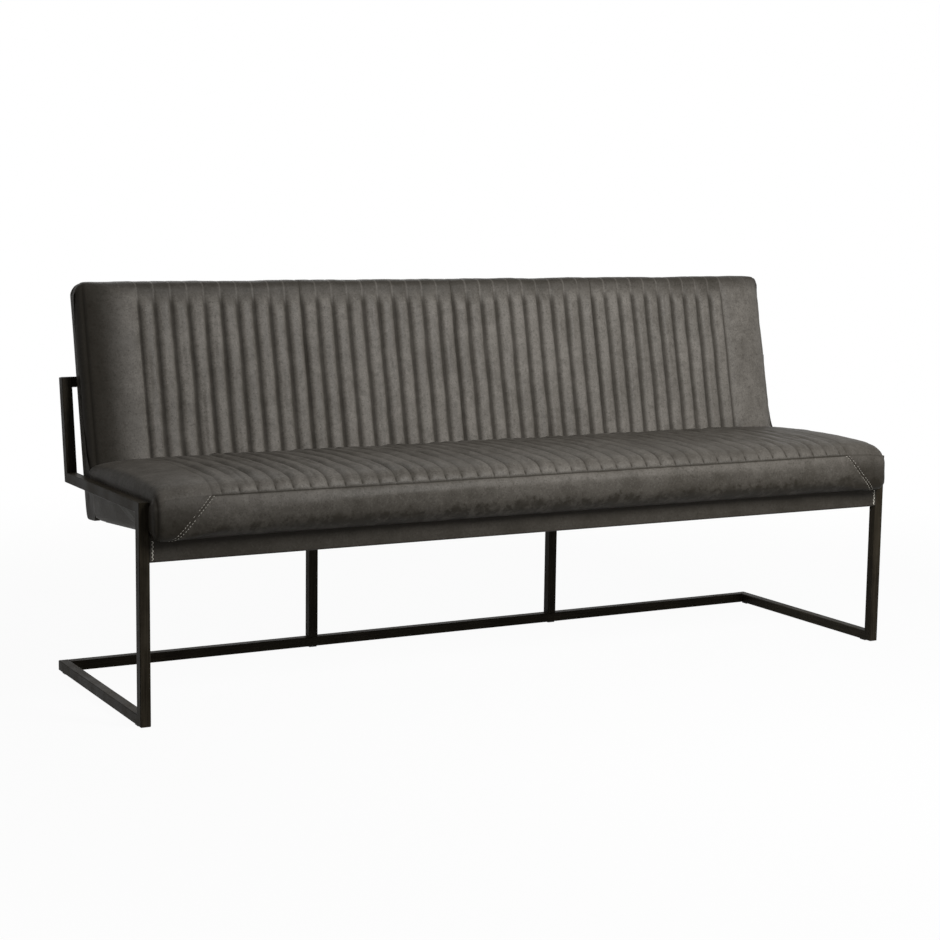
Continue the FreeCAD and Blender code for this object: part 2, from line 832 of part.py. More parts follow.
for side, sign in SIDES:
    corner = -HALF_WIDTH if sign < 0 else CHANNEL_HALF
    region = block(
        f"{side}_back_region", corner, 0, 0, HALF_WIDTH - CHANNEL_HALF, Dims.base_depth * 2, Dims.back_top * 2
    )
    keep(f"{side}_back_end_cover", boolean("Common", f"{side}_back_end_skin", front_skins, region))


# Channels: one stuffed rib, repeated side by side over the panel
RIB_RADIUS = (Dims.channel_pitch * Dims.channel_pitch / 4 + Dims.channel_rise * Dims.channel_rise) / (
    Dims.channel_rise * 2
)
FIRST_RIB = -CHANNEL_HALF


def back_rib_section(body, name):
    """Section of a stuffed rib of the backrest: a shallow arc over a strip sewn down at both edges."""
    left, right = FIRST_RIB, FIRST_RIB + Dims.channel_pitch
    root = Dims.channel_root
    return outline(body, "XY_Plane", name, [(right, root), (left, root), (left, 0, RIB_RADIUS), (right, 0)])


def seat_rib_section(body, name, base):
    """Section of a rib of the seat, which sitters flatten: a flat between two sloping shoulders."""
    left, right = FIRST_RIB, FIRST_RIB + Dims.channel_pitch
    root, crest = base - Dims.channel_root, base + Dims.channel_rise
    corners = [(left, root), (right, root), (right, base)]
    corners += [(right - Dims.channel_shoulder, crest), (left + Dims.channel_shoulder, crest), (left, base)]
    return outline(body, "XZ_Plane", name, corners)


def repeat_rib(body, rib):
    """Repeats a rib along the bench."""
    pattern = body.newObject("PartDesign::LinearPattern", f"{body.Name}_pattern")
    pattern.Originals = [rib]
    axis = [feature for feature in body.Origin.OriginFeatures if feature.Role == "X_Axis"][0]
    pattern.Direction = (axis, [""])
    bind(pattern, "Length", Dims.channel_pitch * (Dims.channel_count - 1))
    bind(pattern, "Occurrences", Dims.channel_count)
    body.Tip = pattern
    doc.recompute()


back_ribs = new_body("back_ribs")
rib = extrude(
    back_ribs,
    "Pad",
    back_rib_section(back_ribs, "back_rib"),
    (Dims.channel_head - Dims.channel_foot) * (Dims.front_lean * Dims.front_lean + 1).root(),
    both_ways=False,
)
repeat_rib(back_ribs, rib)
place(back_ribs, 0, ORIGIN_Y + front_face(Dims.channel_foot), Dims.channel_foot)
tilt(back_ribs, "Placement", -1, f"atan({Dims.front_lean.text})")
doc.recompute()
keep("back_channel_cover", boolean("Fuse", "back_channelled_skin", back_middle_skin, back_ribs))

seat_ribs = new_body("seat_ribs")
seam_rise = (Dims.front_seam - NOSE_Z) * Dims.nose_round / (Dims.nose_round - Dims.channel_root)
seam_y = NOSE_Y - hypotenuse_leg(Dims.nose_round, seam_rise)
rib_end = SEAT_REAR_TOP_Y - Dims.channel_stop
rib_path = outline(
    seat_ribs,
    "YZ_Plane",
    "seat_rib_path",
    [
        (rib_end, crown_height(rib_end), Dims.crown_radius),
        (NOSE_Y - CROWN_SINE * Dims.nose_round, NOSE_Z + CROWN_COSINE * Dims.nose_round, Dims.nose_round),
        (seam_y, NOSE_Z + seam_rise),
    ],
    closed=False,
)
seat_rib_sketch = seat_rib_section(seat_ribs, "seat_rib", crown_height(rib_end))
bind(seat_rib_sketch, ".AttachmentOffset.Base.z", -rib_end)
doc.recompute()
seat_rib = seat_ribs.newObject("PartDesign::AdditivePipe", "seat_rib_sweep")
seat_rib.Profile = seat_rib_sketch
seat_rib.Spine = (rib_path, [f"Edge{number}" for number in (1, 2)])
doc.recompute()
repeat_rib(seat_ribs, seat_rib)
place(seat_ribs)
doc.recompute()
keep("seat_channel_cover", boolean("Fuse", "seat_channelled_skin", top_skin, seat_ribs))

# Bolts through the crossbar into the back board
back_bolts = []
bolt_start = along_upright(Dims.bolt_head_height, -Dims.tube / 2)
for number, x in enumerate(bolt_places, start=1):
    bolt = hex_fastener(
        f"back_bolt_{number}",
        Dims.bolt_head_radius,
        Dims.bolt_head_height,
        Dims.bolt_radius,
        Dims.bolt_grip,
    )
    place(bolt, x, ORIGIN_Y + bolt_start[0], bolt_start[1])
    tilt(bolt, "Placement", 1, f"90 deg - {LEAN_ANGLE}")
    back_bolts.append(bolt)
group("back_bolts", back_bolts)

doc.recompute()
failed = [thing.Name for thing in doc.Objects if {"Invalid", "Error"} & set(thing.State)]
if failed:
    raise RuntimeError(f"these objects failed: {failed}")
for label, thing in finished.items():
    if thing.Shape.isNull() or not thing.Shape.isValid():
        raise RuntimeError(f"{label} has no valid shape")
os.makedirs("parts", exist_ok=True)
for label, thing in finished.items():
    thing.Shape.exportStep(f"parts/{label}.step")
    print(label, len(thing.Shape.Solids), round(thing.Shape.Volume / 1000), "cm3")
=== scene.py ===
"""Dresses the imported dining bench: leather cushions with sewn channels on a welded steel tube frame."""
import logging
import math
from dataclasses import dataclass, field
from enum import Enum
from typing import Callable, Sequence, Union

import bmesh
import bpy
import numpy as np
from mathutils import Matrix, Vector, noise
from mathutils.bvhtree import BVHTree
from mathutils.geometry import barycentric_transform


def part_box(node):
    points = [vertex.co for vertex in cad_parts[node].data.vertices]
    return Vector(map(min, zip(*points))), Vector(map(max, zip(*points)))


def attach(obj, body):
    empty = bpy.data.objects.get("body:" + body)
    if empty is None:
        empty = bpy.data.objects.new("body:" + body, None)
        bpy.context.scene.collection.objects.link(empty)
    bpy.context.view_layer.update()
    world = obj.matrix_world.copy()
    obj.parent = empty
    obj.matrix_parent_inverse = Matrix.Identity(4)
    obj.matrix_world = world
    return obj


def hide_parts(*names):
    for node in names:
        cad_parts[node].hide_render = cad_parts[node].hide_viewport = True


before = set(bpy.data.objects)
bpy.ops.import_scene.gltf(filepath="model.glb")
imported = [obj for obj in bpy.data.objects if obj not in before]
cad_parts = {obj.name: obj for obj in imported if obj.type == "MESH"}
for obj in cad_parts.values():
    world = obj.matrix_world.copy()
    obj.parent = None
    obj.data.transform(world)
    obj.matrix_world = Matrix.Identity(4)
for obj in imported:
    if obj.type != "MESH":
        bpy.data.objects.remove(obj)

LOG = logging.getLogger("dining_bench")
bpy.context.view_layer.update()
MM = 0.001
LEG_FRONT = -249 * MM  # front face of the front legs; side elevations are drawn from it
BEARER_FRONT = 21.5  # front end of the bearers in the side elevations, which are in millimetres
BEARER_SLOPE = 0.07
PHOTO_PIXELS = 940
TINY = 1e-9
TOUCH = 0.1 * MM  # points nearer than this are at the same place
NEARLY = 0.98  # keeps the end of a fall from standing upright

Colour = tuple[float, float, float]
Point2 = tuple[float, float]


class Axis(Enum):
    """The way a tube runs."""

    ALONG = 0
    DEEP = 1
    UP = 2


def smooth_step(low: float, high: float, value: np.ndarray) -> np.ndarray:
    """A soft step from 0 at low to 1 at high."""
    share = np.clip((value - low) / (high - low), 0.0, 1.0)
    return share * share * (3.0 - 2.0 * share)


def ridge(offset: np.ndarray, width: float) -> np.ndarray:
    """1 where the offset is nought, falling away softly over a width."""
    return np.exp(-((offset / width) ** 2))


def wander(places: np.ndarray, scale: float, seed: float) -> np.ndarray:
    """Smooth noise from -1 to 1.

    Args:
        places: points, one row each.
        scale: how many bumps there are to a metre.
        seed: shifts the pattern.

    Returns:
        One value per point.
    """
    shift = Vector((seed * 3.1, seed * 7.7, seed * 1.3))
    return np.array([noise.noise(Vector(place) * scale + shift) for place in places])


class Signal:
    """A shader value that takes part in Python expressions."""

    def __init__(self, graph: "Graph", socket: bpy.types.NodeSocket) -> None:
        """Wraps an output socket of a graph."""
        self.graph = graph
        self.socket = socket

    def _math(self, operation: str, first: "Number", second: "Number") -> "Signal":
        """A node of arithmetic."""
        return self.graph.add("ShaderNodeMath", {"operation": operation}, {0: first, 1: second})

    def __add__(self, other: "Number") -> "Signal":
        """Sum."""
        return self._math("ADD", self, other)

    def __radd__(self, other: "Number") -> "Signal":
        """Sum with a number on the left."""
        return self._math("ADD", other, self)

    def __sub__(self, other: "Number") -> "Signal":
        """Difference."""
        return self._math("SUBTRACT", self, other)

    def __rsub__(self, other: "Number") -> "Signal":
        """Difference from a number on the left."""
        return self._math("SUBTRACT", other, self)

    def __mul__(self, other: "Number") -> "Signal":
        """Product."""
        return self._math("MULTIPLY", self, other)

    def __rmul__(self, other: "Number") -> "Signal":
        """Product with a number on the left."""
        return self._math("MULTIPLY", other, self)

    def __pow__(self, other: "Number") -> "Signal":
        """Power."""
        return self._math("POWER", self, other)

    def either(self, other: "Number") -> "Signal":
        """The larger of two values."""
        return self._math("MAXIMUM", self, other)

    def step(self, low: float, high: float) -> "Signal":
        """A soft step from 0 at low to 1 at high."""
        settings = {"interpolation_type": "SMOOTHSTEP"}
        return self.graph.add("ShaderNodeMapRange", settings, {0: self, 1: low, 2: high, 3: 0.0, 4: 1.0})


Number = Union[Signal, float]


class Graph:
    """The nodes of one material or world."""

    def __init__(self, tree: bpy.types.NodeTree) -> None:
        """Starts with an empty tree."""
        self.tree = tree
        tree.nodes.clear()

    def add(self, kind: str, settings: dict, inputs: dict, output: Union[int, str] = 0) -> Signal:
        """Adds a node.

        Args:
            kind: the node's type.
            settings: its properties, set first.
            inputs: values or signals by socket name or number.
            output: the socket to hand back.

        Returns:
            The wanted output as a signal.
        """
        return Signal(self, self._node(kind, settings, inputs).outputs[output])

    def _node(self, kind: str, settings: dict, inputs: dict) -> bpy.types.Node:
        """Adds a node, as add describes it, and hands back the node itself."""
        node = self.tree.nodes.new(kind)
        for name, value in settings.items():
            setattr(node, name, value)
        for name, value in inputs.items():
            if isinstance(value, Signal):
                self.tree.links.new(value.socket, node.inputs[name])
            else:
                node.inputs[name].default_value = value
        return node

    def place(self, scale: tuple[float, float, float] = (1.0, 1.0, 1.0)) -> Signal:
        """The surface point in the piece's own coordinates, stretched by a scale."""
        point = self.add("ShaderNodeTexCoord", {}, {}, "Object")
        return self.add("ShaderNodeMapping", {"vector_type": "POINT"}, {"Vector": point, "Scale": scale})

    def cloud(self, scale: float, detail: float, place: Signal, roughness: float = 0.55) -> Signal:
        """Cloudy noise from 0 to 1."""
        inputs = {"Vector": place, "Scale": scale, "Detail": detail, "Roughness": roughness}
        return self.add("ShaderNodeTexNoise", {}, inputs, "Fac")

    def attribute(self, name: str) -> Signal:
        """A value painted on the mesh."""
        return self.add("ShaderNodeAttribute", {"attribute_name": name}, {}, "Fac")

    def blend(self, share: Number, first: "Paint", second: "Paint") -> Signal:
        """A colour between two colours.

        Args:
            share: how much of the second colour there is.
            first: colour at a share of 0.
            second: colour at a share of 1.

        Returns:
            The blended colour.
        """
        settings = {"data_type": "RGBA", "clamp_factor": True}
        inputs = {0: share, 6: self._rgba(first), 7: self._rgba(second)}
        return self.add("ShaderNodeMix", settings, inputs, 2)

    @staticmethod
    def _rgba(paint: "Paint") -> Union[Signal, tuple]:
        """A colour in the form that a socket takes."""
        return paint if isinstance(paint, Signal) else (*paint, 1.0)

    def bump(self, height: Signal, depth: float, strength: float) -> Signal:
        """A normal bent by a height."""
        inputs = {"Height": height, "Distance": depth, "Strength": strength}
        return self.add("ShaderNodeBump", {}, inputs, "Normal")

    def surface(self, shader: Signal, kind: str = "ShaderNodeOutputMaterial") -> None:
        """Joins a shader to the output."""
        self._node(kind, {}, {"Surface": shader})

    def sheen(self, tone: Signal, rough: Signal, normal: Signal, constants: dict[str, float]) -> None:
        """Joins a principled shader to the output; the constants go on its own sockets."""
        varying = {"Base Color": tone, "Roughness": rough, "Normal": normal}
        self.surface(self.add("ShaderNodeBsdfPrincipled", {}, {**varying, **constants}))


Paint = Union[Signal, Colour]


def new_material(name: str) -> tuple[bpy.types.Material, Graph]:
    """An empty material.

    Args:
        name: the material's name.

    Returns:
        The material and its graph.
    """
    material = bpy.data.materials.new(name)
    material.use_nodes = True
    return material, Graph(material.node_tree)


@dataclass(frozen=True)
class Mottle:
    """One kind of blotch: how fine it is, and where its edge lies."""

    scale: float
    detail: float
    low: float
    high: float
    roughness: float = 0.55

    def signal(self, graph: Graph, place: Signal) -> Signal:
        """The blotches, from 0 to 1."""
        return graph.cloud(self.scale, self.detail, place, self.roughness).step(self.low, self.high)


@dataclass(frozen=True)
class Leather:
    """Waxed cowhide: mottled, lighter on the crests from rubbing and dark in the seams; painted shade and
    painted highlight go into its colour as well.
    """

    name: str
    deep: Colour
    body: Colour
    # the lighter tone, used for rubbing and for painted highlight
    rubbed_and_highlight: Colour
    mottle: float = 0.5
    patches: Mottle = Mottle(9.0, 5.0, 0.3, 0.7)
    drifts: Mottle = Mottle(30.0, 5.0, 0.36, 0.68, 0.6)
    flecks: Mottle = Mottle(75.0, 6.0, 0.46, 0.72, 0.7)
    specks: Mottle = Mottle(260.0, 4.0, 0.5, 0.7, 0.65)
    pores: Mottle = Mottle(190.0, 5.0, 0.48, 0.66, 0.7)
    pebble_scale: float = 620.0
    grain_scale: float = 1100.0
    wrinkle_scale: float = 120.0
    grain_depth: float = 1.2 * MM
    specular: float = 0.1

    def material(self) -> bpy.types.Material:
        """The finished leather.

        Returns:
            A material that reads the painted values in WEAR: dark seams with dirt and painted shade in the
            grooves, crests lighter from rubbing and from painted highlight, stains, and painted shade.
        """
        material, graph = new_material(self.name)
        place = graph.place()
        blotches = (self.patches, self.drifts, self.flecks, self.specks, self.pores)
        patches, drifts, flecks, specks, pores = (blotch.signal(graph, place) for blotch in blotches)
        crease, crest, scuff, shade = (graph.attribute(name) for name in WEAR)
        # lighter tone from random patches, from rubbing on the crests, and from painted highlight where the
        # crest value carries it
        share = patches * 0.3 + drifts * 0.2 + pores * 0.22 + crest * 0.45
        tone = graph.blend(share, self.body, self.rubbed_and_highlight)
        tone = graph.blend(flecks * self.mottle, tone, self.body)
        # painted shade: darkens the colour towards the deep tone wherever the cushions paint shade
        tone = graph.blend(shade, tone, self.deep)
        # dark seams and dirt, together with painted shade in the channel valleys
        dark = (crease * 0.9).either(specks * 0.45)
        stain = (scuff * (0.25 + flecks * 0.5 + drifts * 0.6)).step(0.15, 0.75)
        tone = graph.blend(dark.either(stain * 0.85), tone, self.deep)
        cells = {"Vector": place, "Scale": self.pebble_scale}
        pebble = graph.add("ShaderNodeTexVoronoi", {"feature": "F1"}, cells, 0)
        grain = pebble * 0.6 + graph.cloud(self.grain_scale, 3.0, place) * 0.4
        wrinkle = graph.cloud(self.wrinkle_scale, 4.0, place)
        normal = graph.bump(grain * 0.35 + wrinkle * 0.65, self.grain_depth, 0.35)
        rough = 0.52 + patches * 0.1 - crest * 0.06 + crease * 0.2
        graph.sheen(tone, rough, normal, {"Specular IOR Level": self.specular})
        return material


@dataclass(frozen=True)
class TubeSteel:
    """Dark lacquered steel with drawn streaks along the tube."""

    name: str
    axis: Axis
    lacquer: Colour
    bright: Colour
    streaks: Mottle = Mottle(420.0, 4.0, 0.35, 0.75)
    haze: Mottle = Mottle(14.0, 4.0, 0.35, 0.7)
    stretch: float = 0.03
    streak_depth: float = 0.2 * MM
    specular: float = 0.03

    def material(self) -> bpy.types.Material:
        """The finished steel.

        Returns:
            A material whose streaks run along the axis.
        """
        material, graph = new_material(self.name)
        scale = [1.0, 1.0, 1.0]
        scale[self.axis.value] = self.stretch
        streaks = self.streaks.signal(graph, graph.place(tuple(scale)))
        haze = self.haze.signal(graph, graph.place())
        tone = graph.blend(streaks * 0.5 + haze * 0.35, self.lacquer, self.bright)
        rough = 0.38 + haze * 0.14 + streaks * 0.08
        normal = graph.bump(streaks, self.streak_depth, 0.25)
        graph.sheen(tone, rough, normal, {"Specular IOR Level": self.specular})
        return material


@dataclass(frozen=True)
class PlainFinish:
    """A hidden or small part's finish: one colour with fine speckle."""

    name: str
    light: Colour
    dark: Colour
    grain: float
    roughness: float
    stretch: tuple[float, float, float] = (1.0, 1.0, 1.0)
    metallic: float = 0.0
    grain_depth: float = 0.3 * MM

    def material(self) -> bpy.types.Material:
        """The finished surface.

        Returns:
            A material of the two colours.
        """
        material, graph = new_material(self.name)
        speckle = graph.cloud(self.grain, 5.0, graph.place(self.stretch))
        tone = graph.blend(speckle.step(0.35, 0.65), self.dark, self.light)
        rough = self.roughness + speckle * 0.12
        normal = graph.bump(speckle, self.grain_depth, 0.3)
        graph.sheen(tone, rough, normal, {"Metallic": self.metallic})
        return material


# painted on the leather: dark seams with dirt and painted shade, crests from rubbing and painted highlight,
# stains, and painted shade
WEAR = ("crease", "crest", "scuff", "shade")  # values painted on the leather, each from 0 to 1
HIDE = Leather("charcoal_leather", (0.010, 0.008, 0.005), (0.043, 0.0385, 0.032), (0.140, 0.129, 0.115))
THREAD = PlainFinish("pale_thread", (0.36, 0.34, 0.30), (0.20, 0.19, 0.16), 900.0, 0.7)
BAND_THREAD = PlainFinish("white_thread", (0.60, 0.57, 0.51), (0.40, 0.38, 0.33), 900.0, 0.7)
DARK_THREAD = PlainFinish("dark_thread", (0.10, 0.095, 0.085), (0.05, 0.047, 0.042), 900.0, 0.7)


def deselect() -> None:
    """Leaves edit mode with nothing selected."""
    if bpy.context.object and bpy.context.object.mode != "OBJECT":
        bpy.ops.object.mode_set(mode="OBJECT")
    bpy.ops.object.select_all(action="DESELECT")


def activate(piece: bpy.types.Object) -> None:
    """Makes one piece the selected and active one.

    Args:
        piece: the piece.
    """
    deselect()
    piece.select_set(True)
    bpy.context.view_layer.objects.active = piece


def coordinates(piece: bpy.types.Object) -> np.ndarray:
    """Reads the mesh's points.

    Args:
        piece: the piece.

    Returns:
        The points, one row each.
    """
    flat = np.empty(len(piece.data.vertices) * 3)
    piece.data.vertices.foreach_get("co", flat)
    return flat.reshape(-1, 3)


def move_points(piece: bpy.types.Object, points: np.ndarray) -> None:
    """Puts the mesh's points at new places."""
    piece.data.vertices.foreach_set("co", points.ravel())
    piece.data.update()


def outward(piece: bpy.types.Object) -> np.ndarray:
    """Reads the mesh's point normals.

    Args:
        piece: the piece.

    Returns:
        The normals, one row each.
    """
    flat = np.empty(len(piece.data.vertices) * 3)
    piece.data.vertex_normals.foreach_get("vector", flat)
    return flat.reshape(-1, 3)


def paint(piece: bpy.types.Object, name: str, values: np.ndarray) -> None:
    """Stores one value per point on the mesh."""
    data = piece.data.attributes.get(name) or piece.data.attributes.new(name, "FLOAT", "POINT")
    data.data.foreach_set("value", values.astype(np.float32))


def painted(piece: bpy.types.Object, name: str) -> np.ndarray:
    """Reads painted values back from the mesh.

    Args:
        piece: the piece.
        name: what was painted.

    Returns:
        One value per point.
    """
    values = np.empty(len(piece.data.vertices), np.float32)
    piece.data.attributes[name].data.foreach_get("value", values)
    return values.astype(float)


def wear(piece: bpy.types.Object, **values: np.ndarray) -> None:
    """Paints the leather's values in WEAR: dark seams with dirt and painted shade, crests lighter from
    rubbing and from painted highlight, stains, and painted shade.
    """
    for name in WEAR:
        paint(piece, name, np.clip(values[name], 0.0, 1.0))


def select_edges(piece: bpy.types.Object, test: Callable[[Vector], bool]) -> None:
    """Enters edit mode with some edges selected.

    Args:
        piece: the active piece.
        test: what both ends of an edge have to pass.
    """
    bpy.ops.object.mode_set(mode="EDIT")
    bpy.ops.mesh.select_mode(type="EDGE")
    bpy.ops.mesh.select_all(action="DESELECT")
    bpy.ops.object.mode_set(mode="OBJECT")
    for edge in piece.data.edges:
        edge.select = all(test(piece.data.vertices[i].co) for i in edge.vertices)
    bpy.ops.object.mode_set(mode="EDIT")


def dress(piece: bpy.types.Object, material: bpy.types.Material) -> None:
    """Gives a piece one material."""
    piece.data.materials.clear()
    piece.data.materials.append(material)


def straight(start: Point2, end: Point2, parts: int) -> list[Point2]:
    """Points along a line, without its end."""
    return [tuple(a + (b - a) * i / parts for a, b in zip(start, end)) for i in range(parts)]


def bow(centre: Point2, radius: float, start: float, end: float, parts: int) -> list[Point2]:
    """Points along an arc, angles in degrees, without its end."""
    angles = [math.radians(start + (end - start) * i / parts) for i in range(parts)]
    return [(centre[0] + radius * math.cos(a), centre[1] + radius * math.sin(a)) for a in angles]


def over_bearers(place: float, level: float) -> float:
    """Height of a line that has a level at the bearers' front end and falls with them to the rear."""
    return level - BEARER_SLOPE * (place - BEARER_FRONT)


@dataclass
class Section:
    """A cushion's closed section, drawn in millimetres from the front face of the legs."""

    points: list[Point2]
    ring: np.ndarray = field(init=False)
    girth: np.ndarray = field(init=False)
    facing: np.ndarray = field(init=False)

    def __post_init__(self) -> None:
        """Works out place, girth and outward direction of each point."""
        drawn = np.array(self.points)
        self.ring = drawn * MM + np.array([LEG_FRONT, 0.0])
        steps = np.linalg.norm(np.roll(self.ring, -1, axis=0) - self.ring, axis=1)
        self.girth = np.concatenate([[0.0], np.cumsum(steps)[:-1]])
        along = np.roll(self.ring, -1, axis=0) - np.roll(self.ring, 1, axis=0)
        along /= np.linalg.norm(along, axis=1)[:, None]
        turn = np.cross(self.ring, np.roll(self.ring, -1, axis=0)).sum()
        self.facing = np.column_stack([along[:, 1], -along[:, 0]]) * math.copysign(1.0, turn)

    def girth_at(self, test: Callable[[float, float], float]) -> float:
        """The girth where a test on the drawn point is smallest."""
        return float(self.girth[int(np.argmin([test(*point) for point in self.points]))])

    def nearest(self, places: np.ndarray) -> np.ndarray:
        """Number of the section's point that is nearest to each place."""
        return np.argmin(((places[:, None] - self.ring[None]) ** 2).sum(axis=2), axis=1)


@dataclass
class Stitches:
    """A row of thread stitches that lies on a sewn surface."""

    name: str
    finish: PlainFinish
    length: float = 4.6 * MM
    gap: float = 2.2 * MM
    thickness: float = 1.1 * MM
    flatness: float = 0.8
    lift: float = 0.15

    def model(self) -> bpy.types.Object:
        """Models one stitch along X, its ends sunk.

        Returns:
            The stitch.
        """
        deselect()
        bpy.ops.mesh.primitive_uv_sphere_add(segments=6, ring_count=6, radius=0.5)
        stitch = bpy.context.object
        bpy.ops.object.mode_set(mode="EDIT")
        bpy.ops.mesh.select_all(action="SELECT")
        bpy.ops.transform.resize(value=(self.length, self.thickness, self.thickness * self.flatness))
        bpy.ops.object.mode_set(mode="OBJECT")
        return stitch

    def lay(self, runs: Sequence[Sequence[tuple[Vector, Vector]]]) -> bpy.types.Object:
        """Copies the stitch along runs of points and joins the copies.

        Args:
            runs: chains of (point, outward normal) on the surface.

        Returns:
            The joined row.
        """
        pattern = self.model()
        copies = []
        for run in runs:
            for matrix in self._frames(run):
                copy = bpy.data.objects.new(self.name, pattern.data.copy())
                copy.data.transform(matrix)
                bpy.context.scene.collection.objects.link(copy)
                copies.append(copy)
        bpy.data.objects.remove(pattern)
        activate(copies[0])
        for copy in copies:
            copy.select_set(True)
        bpy.ops.object.join()
        row = bpy.context.object
        row.name = self.name
        bpy.ops.object.shade_smooth()
        dress(row, self.finish.material())
        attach(row, "root")
        return row

    def _frames(self, run: Sequence[tuple[Vector, Vector]]) -> list[Matrix]:
        """Places the stitches along one run.

        Args:
            run: chain of (point, outward normal) on the surface.

        Returns:
            Place and turn of each stitch.
        """
        frames = []
        step = self.length + self.gap
        left = step / 2
        for (start, normal), (end, _) in zip(run, run[1:]):
            way = end - start
            done = left
            while done < way.length:
                ahead = way.normalized()
                up = (normal - ahead * normal.dot(ahead)).normalized()
                side = up.cross(ahead)
                turn = Matrix((ahead, side, up)).transposed().to_4x4()
                place = start + ahead * done + up * self.thickness * self.lift
                frames.append(Matrix.Translation(place) @ turn)
                done += step
            left = done - way.length
        return frames


@dataclass(frozen=True)
class CoverCloth:
    """How the cover behaves while the foam presses it out."""

    quality: int = 4
    mass: float = 0.3
    stretch: float = 12.0
    shear: float = 6.0
    bending: float = 0.6
    pressure: float = 4.0
    frames: int = 20

    def run(self, piece: bpy.types.Object, held: np.ndarray) -> None:
        """Presses the cover out and applies the result.

        Args:
            piece: the closed cover.
            held: which of its points stay where they are.
        """
        group = piece.vertex_groups.new(name="held")
        group.add([int(i) for i in np.flatnonzero(held)], 1.0, "REPLACE")
        activate(piece)
        cloth = piece.modifiers.new("cover", "CLOTH")
        settings = cloth.settings
        settings.quality = self.quality
        settings.mass = self.mass
        settings.vertex_group_mass = group.name
        settings.tension_stiffness = self.stretch
        settings.compression_stiffness = self.stretch
        settings.shear_stiffness = self.shear
        settings.bending_stiffness = self.bending
        settings.use_pressure = True
        settings.uniform_pressure_force = self.pressure
        settings.effector_weights.gravity = 0.0
        cloth.point_cache.frame_start = 1
        cloth.point_cache.frame_end = self.frames
        scene = bpy.context.scene
        for number in range(1, self.frames + 1):
            scene.frame_set(number)
        bpy.ops.object.modifier_apply(modifier=cloth.name)
        scene.frame_set(1)


